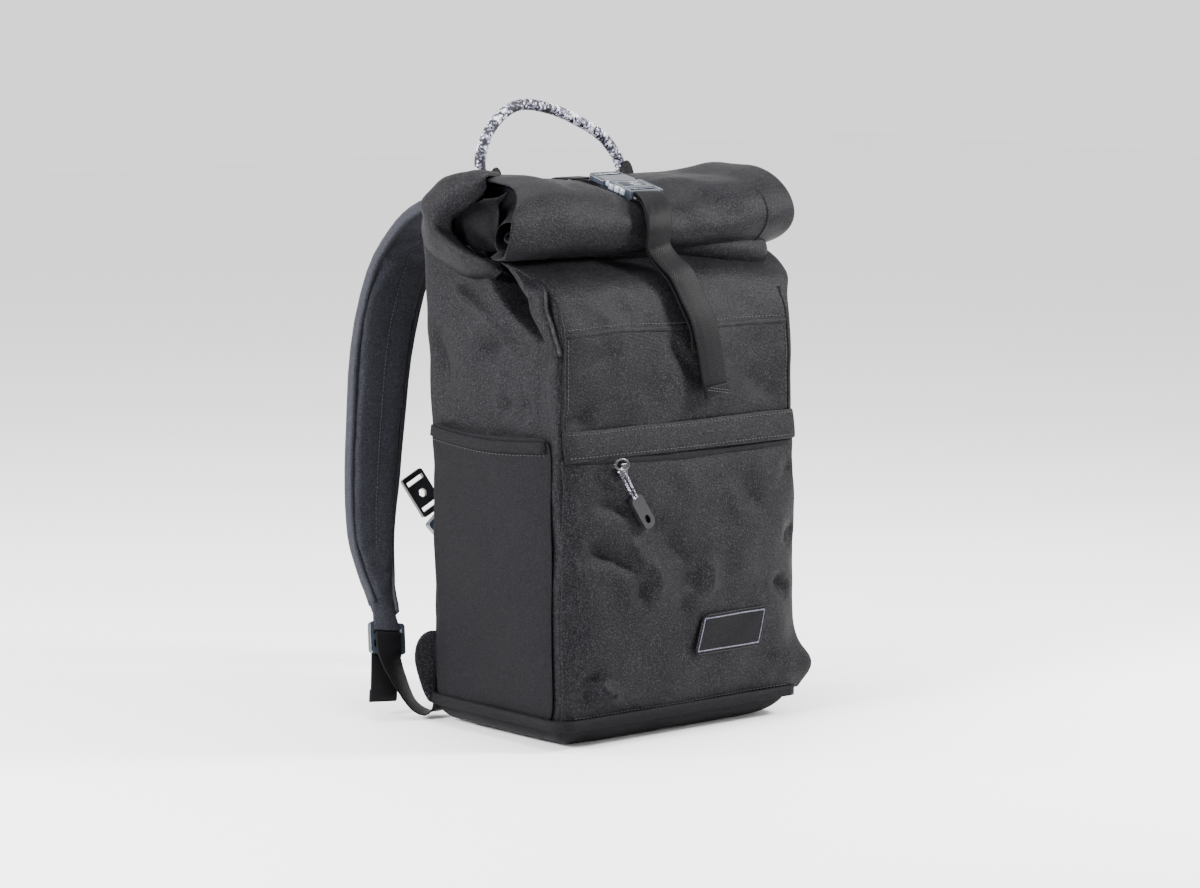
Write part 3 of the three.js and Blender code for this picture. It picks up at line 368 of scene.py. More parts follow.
def swept(name, stations, outline, material, turn=False):
    """A closed section carried along stations, each with its place, side way, width and thickness. The
    weave map runs across it and along it in metres, or round it in turns."""
    frames = []
    for order, (place, across, width, thickness) in enumerate(stations):
        before = stations[max(order - 1, 0)][0]
        after = stations[min(order + 1, len(stations) - 1)][0]
        along = (after - before).normalized()
        side = (across - along * across.dot(along)).normalized()
        out = along.cross(side)
        columns = Matrix((side * width / 2, out * thickness / 2, along)).transposed().to_4x4()
        frames.append(Matrix.Translation(place) @ columns)
    bm = bmesh.new()
    ring = [bm.verts.new((x, y, 0)) for x, y in outline]
    edges = [bm.edges.new((ring[i], ring[(i + 1) % len(ring)])) for i in range(len(ring))]
    bmesh.ops.transform(bm, matrix=frames[0], verts=ring)
    marks = {}
    run = 0
    first = list(ring)
    for order, placed in enumerate(frames):
        if order:
            made = bmesh.ops.extrude_edge_only(bm, edges=edges)["geom"]
            ring = [v for v in made if isinstance(v, bmesh.types.BMVert)]
            fresh = set(ring)
            edges = [e for e in made if isinstance(e, bmesh.types.BMEdge) and set(e.verts) <= fresh]
            bmesh.ops.transform(bm, matrix=placed @ frames[order - 1].inverted(), verts=ring)
            run += (placed.translation - frames[order - 1].translation).length
        back = placed.inverted()
        for vertex in ring:
            local = back @ vertex.co
            u = math.atan2(local.y, local.x) / (2 * math.pi) if turn else local.x * stations[order][2] / 2
            marks[vertex] = (u, run)
    bmesh.ops.contextual_create(bm, geom=first)
    bmesh.ops.contextual_create(bm, geom=ring)
    bmesh.ops.recalc_face_normals(bm, faces=bm.faces)
    layer = bm.loops.layers.uv.new("weave")
    for face in bm.faces:
        spread = [marks[corner.vert] for corner in face.loops]
        wraps = turn and max(u for u, _ in spread) - min(u for u, _ in spread) > 0.5
        for corner, (u, v) in zip(face.loops, spread):
            corner[layer].uv = (u + 1 if wraps and u < 0 else u, v)
    return piece_from(bm, name, material)


def smooth_rows(rows, steps):
    """A table's rows with smooth rows put between them."""
    last = len(rows) - 1
    smooth = []
    for order in range(last):
        four = (rows[max(order - 1, 0)], rows[order], rows[order + 1], rows[min(order + 2, last)])
        for step in range(steps):
            t = step / steps
            row = []
            for a, b, c, d in zip(*four):
                bend = (2 * a - 5 * b + 4 * c - d) * t**2
                twist = (3 * b - a - 3 * c + d) * t**3
                row.append(0.5 * (2 * b + (c - a) * t + bend + twist))
            smooth.append(row)
    smooth.append(list(rows[-1]))
    return smooth


def mirrored(rows, sign):
    """A left-hand table's rows for the side of a sign: the right one, 1, is its mirror image."""
    return [(-sign * r[0], r[1], r[2], r[3], -sign * r[4], -sign * r[5], *r[6:]) for r in rows]


def stations_from(rows, thickness, steps=3):
    """Sweep stations from rows of place, side way and width, in mm."""
    return [
        (Vector(row[:3]) / 1000, Vector(row[3:6]), row[6] / 1000, thickness)
        for row in smooth_rows(rows, steps)
    ]


lower_half = [(-1, -0.4), (-0.9, -1), (0, -1), (0.9, -1), (1, -0.4)]
tape_outline = lower_half + [(-x, -y) for x, y in lower_half]


def seam_strip(name, surface, points, toward, width, material, height=0.0009):
    """A narrow folded seam that lies along a surface."""
    spots = laid_on(surface, points, toward, 0.006)
    stations = []
    for order, (place, normal) in enumerate(spots):
        along = spots[min(order + 1, len(spots) - 1)][0] - spots[max(order - 1, 0)][0]
        stations.append((place + normal * height * 0.3, normal.cross(along), width, height))
    return swept(name, stations, tape_outline, material)


thread_paint = bpy.data.materials.new("sewing_thread")
tree, shader, place = cloth_nodes(thread_paint)
twist = joined(tree, "ShaderNodeTexNoise", Vector=place.outputs["Object"], Scale=2600.0, Detail=2.0)
tone = ramp(tree, twist.outputs["Fac"], [(0.3, (0.004, 0.0039, 0.0048)), (0.7, (0.014, 0.0136, 0.0162))])
tree.links.new(tone, shader.inputs["Base Color"])
shader.inputs["Roughness"].default_value = 0.6


def stitched(
    name,
    surface,
    lines,
    toward,
    pitch=0.0036,
    length=0.0024,
    thick=0.00032,
):
    """Rows of single stitches along lines on a surface."""
    bm = bmesh.new()
    for points in lines:
        spots = laid_on(surface, points, toward, pitch)
        for (place, normal), (after, _) in zip(spots, spots[1:]):
            along = after - place
            if along.length > 2.5 * pitch or along.length < 1e-6:
                continue
            turn = along.to_track_quat("Z", "Y").to_matrix().to_4x4()
            middle = Matrix.Translation((place + after) / 2 + normal * thick * 0.5)
            bmesh.ops.create_cone(
                bm,
                cap_ends=True,
                segments=5,
                radius1=thick,
                radius2=thick,
                depth=length,
                matrix=middle @ turn,
            )
    return piece_from(bm, name, thread_paint)


shell_face = surface_of(shell)
front_way = (0, -1, 0)
sides = (("left", -1), ("right", 1))
ridge_rows = [
    (-126, -20, 392, -0.2, 1, 0.5, 9),
    (-129, -38, 382, -0.2, 1, 0.5, 13),
    (-131.5, -57, 371, -0.2, 1, 0.3, 15),
    (-132, -64, 357, -0.2, 1, 0, 14),
    (-131, -73, 340, -0.2, 1, 0, 10),
    (-129, -82, 322, -0.3, 1, 0, 5),
]
ridge_stations = stations_from(ridge_rows, 0.006, 6)
ridge = swept("front_ridge", ridge_stations, tape_outline, heathered)
crumple(ridge.data, 0.02, 0.0022, 33)
seam_strip(
    "shoulder_seam",
    shell_face,
    [(-123, -90, 337), (-60, -90, 338), (0, -90, 335), (60, -90, 335), (123, -90, 334)],
    front_way,
    0.0035,
    heathered,
)
for side, sign in sides:
    seam_strip(
        f"neck_seam_{side}",
        shell_face,
        [(sign * 122, -90, 250), (sign * 122, -90, 300), (sign * 121.5, -90, 337), (sign * 120, -80, 362)],
        front_way,
        0.0032,
        heathered,
    )
stitched(
    "shell_stitches",
    shell_face,
    [
        [(-122, -90, 341.5), (-60, -90, 342.5), (0, -90, 339.5), (60, -90, 339.5), (122, -90, 338.5)],
        [(-118, -90, 252), (-118, -90, 334)],
        [(118, -90, 252), (118, -90, 334)],
    ],
    front_way,
)


# Base: a tray of smoother, darker cloth with a rounded lower edge, sewn to the shell and pocket.
smooth_weave = woven_cloth(
    "smooth_cloth",
    dark=(0.0020, 0.0019, 0.0025),
    base=(0.0034, 0.0032, 0.0042),
    fleck=(0.0085, 0.0081, 0.0100),
    fleck_share=0.36,
    thread=0.0008,
    relief=0.25,
    sheen=0.008,
    roughness=0.66,
)
base = soft_copy("base_panel", "base_tray", smooth_weave, 2)
# The right end of the tray draws in towards the floor.
for vertex in base.data.vertices:
    low = max(0, 1 - vertex.co.z / 0.02)
    vertex.co.x -= max(0, vertex.co.x - 0.09) * 0.42 * low
crumple(base.data, 0.05, 0.0015, 4, lambda at: min(1, max(0, at.z / 0.01)))
lay_weave(base.data)
rim_radius = 14
rim_height = 20.5
rim_outline = []
for corner_x, corner_y, first in ((118, 72, 0), (-118, 72, 90), (-118, -76, 180), (118, -76, 270)):
    for step in range(0, 91, 15):
        angle = math.radians(first + step)
        x = corner_x + rim_radius * math.cos(angle)
        y = corner_y + rim_radius * math.sin(angle)
        rim_outline.append((x, y, rim_height))
rim_outline.append(rim_outline[0])
rim_stations = [(Vector(p) / 1000, Vector((0, 0, 1)), 0.009, 0.004) for p in rim_outline]
rim = swept("base_rim", rim_stations, tape_outline, smooth_weave)
for vertex in rim.data.vertices:
    vertex.co.x -= max(0, vertex.co.x - 0.11) * 0.2
crumple(rim.data, 0.04, 0.0012, 31)
base_face = surface_of(base)
base_seams = [
    ((-122, -95, 17), (122, -95, 17), (0, -1, 0)),
    ((-140, -76, 17), (-140, 76, 17), (-1, 0, 0)),
    ((140, -76, 17), (140, 76, 17), (1, 0, 0)),
    ((-122, 95, 17), (122, 95, 17), (0, 1, 0)),
]
for order, (start, end, way) in enumerate(base_seams):
    seam_strip(f"base_seam_{order + 1}", base_face, [start, end], way, 0.004, smooth_weave)


# Rolled top: the shell's upper end, two layers of the same cloth rolled forward three times, open at
# its left end, and held by the closure webbing. A seam runs round it near its right end.
roll = soft_copy("rolled_top", "rolled_closure", heathered, 2)
press_folds(
    roll.data,
    [
        ((60, -40, 452), (66, -58, 415), 10.2, (0, 5.7, -1.9)),
        ((78, -55, 440), (84, -60, 418), 7.6, (0, 6.6, 0)),
        ((-30, -35, 452), (-22, -58, 425), 10.2, (0, 4.8, -1.9)),
        ((-60, 20, 456), (-75, -40, 450), 11.9, (0, 0, -4.8)),
        ((35, 10, 452), (75, -35, 452), 10.2, (0, 0, 4.8)),
        ((100, 30, 452), (120, -40, 450), 11.9, (0, 0, -3.8)),
        ((-95, -50, 440), (-100, -58, 410), 10.2, (0, -3.8, 0)),
        ((40, -58, 415), (30, -58, 440), 7.6, (0, 5.7, 0)),
    ],
)
# At the open left end the inner turns are drawn in and together.
for vertex in roll.data.vertices:
    x, y, z = vertex.co * 1000
    if x < -112 and -43 < y < 8 and 398 < z < 442:
        share = min(1, (-112 - x) / 26)
        vertex.co += Vector((7, 0.3 * (-20 - y), 0.35 * (414 - z) - 3)) * share / 1000
crumple(roll.data, 0.05, 0.0035, 9)
crumple(roll.data, 0.02, 0.001, 11)
lay_weave(roll.data)
roll_face = surface_of(roll)
seam_strip(
    "roll_seam",
    roll_face,
    [(113, -90, 404), (116, -90, 415), (118, -90, 430), (117.5, -90, 442), (116, -90, 450)],
    (0, -1, 0.15),
    0.003,
    heathered,
)


# Front pocket: a full-width panel sewn on at its foot and sides, puckered by the stitching, and closed
# along its top by a zip under a stitched band.
pocket = soft_copy("front_pocket", "pocket_panel", heathered, 2)
press_folds(
    pocket.data,
    [
        ((-38, -97, 183), (-31, -97, 174), 7.6, (0, 5.1, 0)),
        ((-31, -97, 174), (1, -97, 142), 8.5, (0, 6.6, 0)),
        ((1, -97, 142), (1, -97, 117), 8.5, (0, 6.6, 0)),
        ((1, -97, 117), (-13, -97, 95), 8.5, (0, 5.7, 0)),
        ((20, -97, 150), (22, -97, 112), 11.9, (0, -5.7, 0)),
        ((-108, -92, 171), (-48, -95, 136), 6.8, (0, 11.5, 0)),
        ((-48, -95, 136), (-56, -95, 112), 6.8, (0, 10.3, 0)),
        ((-40, -95, 150), (-34, -95, 120), 6.8, (0, -7.7, 0)),
        ((-100, -92, 205), (-60, -95, 190), 7.6, (0, 6.5, 0)),
        ((57, -95, 214), (79, -95, 180), 6.8, (0, 4.5, 0)),
        ((45, -95, 205), (60, -95, 172), 7, (0, -2.5, 0)),
        ((98, -95, 122), (116, -94, 104), 6, (0, 11.5, 0)),
        ((60, -95, 60), (100, -94, 52), 7.6, (0, 5.1, 0)),
        ((-124, -90, 199), (-112, -90, 199), 7.6, (0, -3.4, 0)),
        ((-124, -90, 174), (-112, -90, 176), 6.1, (0, 4.4, 0)),
        ((-124, -90, 149), (-112, -90, 150), 6.8, (0, -3.4, 0)),
        ((-124, -90, 136), (-110, -90, 138), 5.6, (0, 4.4, 0)),
        ((-124, -90, 122), (-112, -90, 120), 6.4, (0, -3.4, 0)),
        ((-124, -90, 98), (-108, -90, 100), 6.4, (0, 4.4, 0)),
        ((-124, -90, 80), (-112, -90, 80), 6.8, (0, -3.2, 0)),
        ((-122, -90, 34), (-98, -94, 48), 3.4, (0, 11.5, 0)),
        ((-98, -94, 50), (-70, -92, 34), 4.2, (0, -8.9, 0)),
        ((-112, -92, 52), (-88, -94, 60), 5.1, (0, 7.7, 0)),
        ((124, -90, 215), (112, -92, 205), 6, (0, 7.7, 0)),
        ((124, -90, 160), (110, -92, 150), 6.8, (0, 7.7, 0)),
    ],
)
# The lower right corner stands out past the base.
for vertex in pocket.data.vertices:
    x, y, z = vertex.co * 1000
    flare = math.exp(-(((z - 43) / 15) ** 2)) * min(1, max(0, (x - 100) / 24))
    vertex.co += Vector((9, -4, 0)) * flare / 1000
press_folds(
    pocket.data,
    [
        ((-124, -90, 27), (-99, -96, 52), 3, (0, -7, 0)),
        ((-120, -90, 24), (-95, -96, 46), 3, (0, 5, 0)),
        ((-99, -96, 52), (-72, -96, 40), 4, (0, -4, 0)),
        ((-125, -92, 160), (-60, -95, 150), 5, (0, 4.5, 0)),
        ((-120, -92, 168), (-62, -95, 160), 6, (0, -4, 0)),
        ((-60, -96, 168), (-52, -96, 138), 6, (0, -5, 0)),
        ((-10, -97, 225), (18, -97, 190), 12, (0, -3, 0)),
    ],
)
crumple(pocket.data, 0.045, 0.0025, 13)
crumple(pocket.data, 0.02, 0.001, 15)
lay_weave(pocket.data)

band = soft_copy("zip_flap", "zip_band", heathered, 2)
crumple(band.data, 0.05, 0.0012, 13)
lay_weave(band.data)
stitched(
    "band_stitches",
    surface_of(band),
    [
        [(-122, -100, 257.5), (0, -100, 257), (122, -100, 257.5)],
        [(-122, -100, 239), (0, -100, 238.5), (122, -100, 239)],
    ],
    front_way,
)
pocket_face = surface_of(pocket)
foot_line = [(-116, -110, 26), (0, -110, 26), (112, -110, 27)]
stitched("pocket_stitches", pocket_face, [foot_line], front_way)

# A dark strip under the band's lower edge is painted shadow, where the band overhangs the pocket. The label
# is woven of the same fine yarn.
fine_weave = woven_cloth(
    "woven_label",
    dark=(0.0018, 0.0018, 0.0023),
    base=(0.0032, 0.0032, 0.0042),
    fleck=(0.0065, 0.0065, 0.0082),
    fleck_share=0.4,
    thread=0.0006,
    relief=0.25,
    sheen=0.03,
    roughness=0.7,
)
# Painted shadow: a dark strip laid along the foot of the band.
seam_strip(
    "zip_gap",
    pocket_face,
    [(-122, -110, 236), (0, -110, 230.5), (122, -110, 232.5)],
    front_way,
    0.004,
    fine_weave,
    height=0.0012,
)


# Patch: a bare woven label with a thin pale frame, sewn low on the right of the pocket.
frame_thread = woven_cloth(
    "frame_thread",
    dark=(0.05, 0.05, 0.07),
    base=(0.085, 0.085, 0.115),
    fleck=(0.13, 0.13, 0.165),
    fleck_share=0.4,
    thread=0.0006,
    relief=0.3,
    sheen=0.05,
    roughness=0.6,
)
patch = soft_copy("label_patch", "sewn_patch", fine_weave, 2)
lay_weave(patch.data)
patch_face = surface_of(patch)
low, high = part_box("label_patch")
left, right = (low.x + 0.0045) * 1000, (high.x - 0.0045) * 1000
under, over = (low.z + 0.004) * 1000, (high.z - 0.004) * 1000
corners = [(left, -120, under), (right, -120, under), (right, -120, over), (left, -120, over)]
for order in range(4):
    seam_strip(
        f"patch_frame_{order + 1}",
        patch_face,
        [corners[order], corners[(order + 1) % 4]],
        front_way,
        0.0011,
        frame_thread,
        height=0.0003,
    )
stitched(
    "patch_stitches",
    patch_face,
    [
        [(left - 3, -120, under - 2.6), (right + 3, -120, under - 2.6)],
        [(left - 3, -120, over + 2.6), (right + 3, -120, over + 2.6)],
        [(left - 3, -120, under - 2.6), (left - 3, -120, over + 2.6)],
        [(right + 3, -120, under - 2.6), (right + 3, -120, over + 2.6)],
    ],
    front_way,
    pitch=0.0026,
    length=0.0018,
    thick=0.00022,
)

# The label is sewn on askew: its upright edges lean to the right, and it is a little narrower.
label_middle, moved_middle, label_height = 0.0455, 0.0438, 0.082
for piece in [thing for thing in bpy.data.objects if thing.name.startswith(("sewn_patch", "patch_"))]:
    for vertex in piece.data.vertices:
        aside = (vertex.co.x - label_middle) * 0.86
        lean = (vertex.co.z - label_height) * 0.25
        vertex.co.x = moved_middle + aside + lean


# Side pockets: smooth stretch cloth, sewn into the corner seams and open along the top, which is
# folded over to a hem and has a short double bar of stitches.
for side, sign in sides:
    side_pocket = soft_copy(f"side_pocket_{side}", f"stretch_pocket_{side}", smooth_weave, 2)
    press_folds(
        side_pocket.data,
        [
            ((sign * 137, 10, 150), (sign * 137, -45, 190), 14, (sign * -1.6, 0, 0)),
            ((sign * 137, 20, 60), (sign * 137, -30, 40), 12, (sign * 1.5, 0, 0)),
            ((sign * 135, 72, 245), (sign * 135, 60, 225), 6, (sign * 3, 0, 0)),
        ],
    )
    crumple(side_pocket.data, 0.06, 0.002, 17)
    lay_weave(side_pocket.data)
    pocket_side = surface_of(side_pocket)
    out = (sign, 0, 0)
    hem = []
    for y in range(-70, 75, 12):
        hem.append((sign * 150, y, 251.5 - 4 * math.sin(math.pi * (y + 75) / 150)))
    seam_strip(
        f"pocket_hem_{side}",
        pocket_side,
        [(x, y, z - 4) for x, y, z in hem],
        out,
        0.0095,
        smooth_weave,
        height=0.0024,
    )
    stitched(
        f"pocket_bars_{side}",
        pocket_side,
        [
            [(sign * 150, 18, 247), (sign * 150, 36, 247.4)],
            [(sign * 150, 18, 244.2), (sign * 150, 36, 244.6)],
            [(x, y, z - 10.5) for x, y, z in hem],
        ],
        out,
    )


# Back pad and shoulder straps: foam between two layers of dark knit. Each is swelled a little by a
# cloth simulation, then gets its sewn channels. The straps have a paler binding along both edges.
strap_knit = woven_cloth(
    "strap_knit",
    dark=(0.0110, 0.0113, 0.0145),
    base=(0.0165, 0.0170, 0.0215),
    fleck=(0.0260, 0.0270, 0.0340),
    fleck_share=0.4,
    thread=0.0012,
    relief=0.5,
    sheen=0.02,
    roughness=0.8,
)
binding_tape = woven_cloth(
    "binding_tape",
    dark=(0.014, 0.0144, 0.018),
    base=(0.0205, 0.0212, 0.0265),
    fleck=(0.031, 0.032, 0.039),
    fleck_share=0.4,
    thread=0.0009,
    relief=0.5,
    sheen=0.03,
    roughness=0.7,
)


def stuffed(node, name, material, voxel, pressure, cap):
    """A packed pad, evenly divided, swelled by a cloth simulation and smoothed once."""
    bm = bmesh.new()
    bm.from_mesh(frame["nodes"][node].data)
    bmesh.ops.remove_doubles(bm, verts=bm.verts, dist=1e-5)
    pad = piece_from(bm, name, material)
    even = pad.modifiers.new("even", "REMESH")
    even.mode = "VOXEL"
    even.voxel_size = voxel
    settle(pad)
    start = [v.co.copy() for v in pad.data.vertices]
    filling = pad.modifiers.new("filling", "CLOTH")
    filling.settings.use_pressure = True
    filling.settings.uniform_pressure_force = pressure
    filling.settings.effector_weights.gravity = 0
    filling.settings.quality = 5
    for step in range(1, 16):
        bpy.context.scene.frame_set(step)
    settle(pad)
    for vertex, before in zip(pad.data.vertices, start):
        move = vertex.co - before
        if move.length > cap:
            vertex.co = before + move * cap / move.length
    bpy.context.scene.frame_set(1)
    smoothing = pad.modifiers.new("smoothing", "SUBSURF")
    smoothing.levels = 1
    smoothing.render_levels = 1
    settle(pad)
    for face in pad.data.polygons:
        face.use_smooth = True
    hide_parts(node)
    return pad


back_pad = stuffed("back_pad", "back_cushion", strap_knit, 0.005, 3, 0.004)
channels = [((x, 95, 60), (x, 95, 385), 5, (0, -3.5, 0)) for x in (-42, 42)]
channels += [((-85, 95, z), (85, 95, z), 4, (0, -2.5, 0)) for z in (140, 240, 340)]
press_folds(back_pad.data, channels)
lay_weave(back_pad.data)
stitched(
    "back_stitches",
    surface_of(back_pad),
    [[(x, 120, 60), (x, 120, 385)] for x in (-42, 42)],
    (0, 1, 0),
)

strap_rows = [
    (-62, 83.9, 429, 1, 0, 0, 58.8),
    (-62, 94.9, 428.9, 1, 0.04, 0, 59.9),
    (-64, 121.5, 432.9, 0.99, 0.11, -0.01, 61),
    (-68.3, 152.1, 419.9, 0.99, 0.13, -0.09, 61.3),
    (-74.6, 173.6, 396.6, 0.97, 0.13, -0.22, 61.3),
    (-88.4, 184.7, 359, 0.94, 0.04, -0.34, 61.3),
    (-105.3, 183.5, 299.8, 0.98, -0.02, -0.21, 61.3),
    (-117.8, 175.8, 235.7, 0.98, -0.02, -0.18, 61.3),
    (-125.1, 169.8, 186.7, 0.99, -0.01, -0.1, 60.6),
    (-128, 163.4, 149.2, 1, -0.01, -0.06, 58.3),
    (-130.7, 153.2, 117.5, 0.99, -0.05, -0.12, 53.3),
    (-135.8, 140.1, 95.1, 0.96, -0.16, -0.24, 43.1),
    (-142.5, 129.8, 81.9, 0.92, -0.25, -0.31, 31.9),
]
# How the straps narrow towards their adjusters: height, share of the width and shift aside, in metres.
narrowing = [
    (0.070, 0.58, 0),
    (0.085, 0.60, -0.001),
    (0.103, 0.55, -0.004),
    (0.144, 0.74, -0.005),
    (0.190, 0.86, -0.001),
    (0.250, 0.92, 0),
    (0.330, 1, 0),
]


def narrowed(piece, sign):
    """Draws a strap's lower part in toward its own middle line, down to the width of its adjuster."""
    line = smooth_rows([(r[0] * -sign / 1000, r[2] / 1000) for r in strap_rows[4:]], 6)
    for vertex in piece.data.vertices:
        height = max(0.0701, vertex.co.z)
        if height < 0.33:
            _, scale, shift = row_at(narrowing, height)
            middle = min(line, key=lambda spot: abs(spot[1] - height))[0]
            vertex.co.x = middle + (vertex.co.x - middle) * scale + shift * -sign


for side, sign in sides:
    node = f"shoulder_strap_{side}"
    strap = stuffed(node, f"padded_strap_{side}", strap_knit, 0.004, 3, 0.003)
    path = stations_from(mirrored(strap_rows, sign), 0.001)
    middle = [place * 1000 for place, *_ in path]
    for start, end in zip(middle[8:-9:2], middle[10:-7:2]):
        inward = (Vector((0, 92, start.z)) - Vector((0, start.y, start.z))).normalized()
        press_folds(strap.data, [(start + inward * 4.5, end + inward * 4.5, 3.2, -inward * 1.6)])
    lay_weave(strap.data)
    strap_face = surface_of(strap)
    quilt = [tuple(p) for p in middle[10:-8]]
    for way, tag in (((0, -1, 0), "inner"), ((0, 1, 0), "outer")):
        spots = [(x, y + 12 * way[1], z) for x, y, z in quilt]
        name = f"strap_stitches_{side}_{tag}"
        narrowed(stitched(name, strap_face, [spots], way, thick=0.00036), sign)
    for edge, tag in ((-1, "a"), (1, "b")):
        stations = []
        for place, across, width, _ in path[3:-2]:
            rim_place = place + across.normalized() * edge * (width / 2 - 0.0022)
            stations.append((rim_place, across, 0.0046, 0.0088))
        name = f"strap_binding_{side}_{tag}"
        narrowed(swept(name, stations, tape_outline, binding_tape), sign)
    narrowed(strap, sign)
    tongue_rows = [
        (-138.5, 143.5, 100, 0.97, -0.12, -0.2, 22),
        (-140.5, 137, 92, 0.96, -0.16, -0.24, 21),
        (-143, 131, 84, 0.95, -0.2, -0.24, 22),
        (-145, 126.4, 77, 0.97, -0.18, -0.18, 24),
        (-146, 124.4, 73, 0.97, -0.18, -0.17, 25),
    ]
    tongue = stations_from(mirrored(tongue_rows, sign), 0.0042, 4)
    swept(f"strap_tongue_{side}", tongue, tape_outline, strap_knit)


# Cuff: the shell's upper left edge, turned out and over into a soft collar round the open end of the
# roll. The same flecked cloth, held only by the rolling.
def from_rows(name, rows, fine, material, thick=0.0012):
    """A sheet through rows of points in mm, made fine between them, and given the cloth's thickness."""
    across = len(rows[0])
    flat_rows = smooth_rows([[c for point in row for c in point] for row in rows], fine)
    grid = []
    for row in flat_rows:
        points = [row[i * 3:i * 3 + 3] for i in range(across)]
        grid.append(smooth_rows(points, fine))
    bm = bmesh.new()
    wide, long = len(grid[0]), len(grid)
    made = bmesh.ops.create_grid(bm, x_segments=wide - 1, y_segments=long - 1, size=1)["verts"]
    made = sorted(made, key=lambda v: (round(v.co.y, 5), round(v.co.x, 5)))
    for order, vertex in enumerate(made):
        vertex.co = Vector(grid[order // wide][order % wide]) / 1000
    bmesh.ops.recalc_face_normals(bm, faces=bm.faces)
    sheet = piece_from(bm, name, material)
    walls = sheet.modifiers.new("walls", "SOLIDIFY")
    walls.thickness = thick
    walls.offset = 0
    settle(sheet)
    return sheet


cuff_rows = [
    [(-116, 10, 458), (-124, 8, 460), (-131, 4, 459), (-128, 6, 452)],
    [(-110, 16, 460.5), (-126, 16, 461.5), (-136, 10, 455), (-128, 12, 446)],
    [(-108, 30, 461), (-130, 30, 461), (-140, 22, 452), (-129, 22, 440)],
    [(-108, 48, 459.5), (-134, 48, 458), (-143, 36, 447), (-130, 34, 434)],
    [(-110, 66, 456), (-137, 65, 452), (-146, 49, 439), (-132, 44, 427)],
    [(-116, 84, 446), (-141, 78, 438), (-147, 58, 430), (-133, 47, 420)],
    [(-134, 85, 424), (-144, 72, 420), (-147, 55, 419), (-134, 44, 411)],
    [(-138, 80, 404), (-145, 60, 402), (-147, 43, 411), (-134, 34, 404)],
    [(-137, 60, 388), (-144, 42, 392), (-145, 26, 404), (-133, 18, 398)],
    [(-134, 38, 380), (-141, 22, 385), (-142, 10, 396), (-131, 4, 391)],
    [(-131, 18, 378), (-137, 8, 382), (-137, -2, 389), (-128, -4, 386)],
    [(-124, 4, 376), (-128, -3, 379), (-128, -8, 383), (-122, -6, 382)],
]
cuff = from_rows("turned_cuff", cuff_rows, 5, heathered, thick=0.002)
press_folds(
    cuff.data,
    [
        ((-120, 70, 455), (-147, 48, 440), 6, (2.5, 0, -2)),
        ((-112, 40, 461), (-140, 30, 452), 6, (1.5, 0, -2)),
        ((-138, 84, 424), (-146, 52, 424), 5, (3.5, 0, 0)),
        ((-138, 60, 388), (-147, 40, 409), 5, (3, 0, 0)),
    ],
)
crumple(cuff.data, 0.03, 0.003, 21)
lay_weave(cuff.data)


# Inside of the neck: the inside layer that shows under the cuff, and the shell's own fold behind the open end
# of the roll.
# Both are the smoother, darker cloth, sewn in above, loose below and crumpled. Their darker cloth is painted
# shade that darkens the hollow at the roll's open end.
lining_rows = [
    [(-124, -12, 446), (-118, 10, 430), (-116, 0, 404)],
    [(-126, 18, 442), (-117, 26, 424), (-114, 12, 400)],
    [(-129, 42, 432), (-119, 44, 416), (-114, 24, 396)],
    [(-131, 50, 414), (-121, 50, 402), (-114, 30, 392)],
    [(-131, 30, 400), (-122, 30, 392), (-114, 16, 386)],
    [(-128, -6, 388), (-121, -4, 384), (-113, -4, 382)],
]
# Painted shade: a dark crumpled sheet in the hollow under the cuff.
shade_lining = from_rows("neck_lining", lining_rows, 5, smooth_weave, thick=0.001)
crumple(shade_lining.data, 0.016, 0.005, 23)
lay_weave(shade_lining.data)
inner_rows = [
    [(-116, -40, 446), (-112, -40, 425), (-110, -40, 400)],
    [(-112, -10, 450), (-108, -8, 428), (-106, -10, 396)],
    [(-112, 30, 452), (-104, 30, 428), (-104, 26, 392)],
    [(-112, 60, 449), (-106, 60, 426), (-106, 56, 392)],
    [(-114, 78, 441), (-112, 76, 420), (-112, 72, 392)],
]
# Painted shade: a dark sheet behind the roll's open end.
inner_shade_wall = from_rows("inner_fold", inner_rows, 5, smooth_weave, thick=0.001)
crumple(inner_shade_wall.data, 0.02, 0.004, 29)
lay_weave(inner_shade_wall.data)


# Gusset: the shell's cloth between the shoulder of the bag and the roll, pushed out in a soft fold under
# the roll's right end and drawn in behind the webbing.
gusset_rows = [
    [(-70, -20, 374), (-70, -24, 388), (-70, -26, 402)],
    [(-20, -21, 374), (-20, -27, 390), (-20, -29, 404)],
    [(30, -22, 376), (30, -34, 392), (30, -34, 406)],
    [(76, -36, 372), (76, -49, 392), (76, -44, 406)],
    [(112, -38, 368), (112, -51, 390), (112, -45, 405)],
    [(128, -32, 366), (132, -43, 388), (130, -38, 404)],
    [(138, -18, 366), (142, -24, 387), (138, -20, 404)],
    [(146, 6, 372), (145, 6, 390), (139, 6, 404)],
]
gusset = from_rows("right_gusset", gusset_rows, 5, heathered, thick=0.0015)
crumple(gusset.data, 0.03, 0.003, 35)
lay_weave(gusset.data)


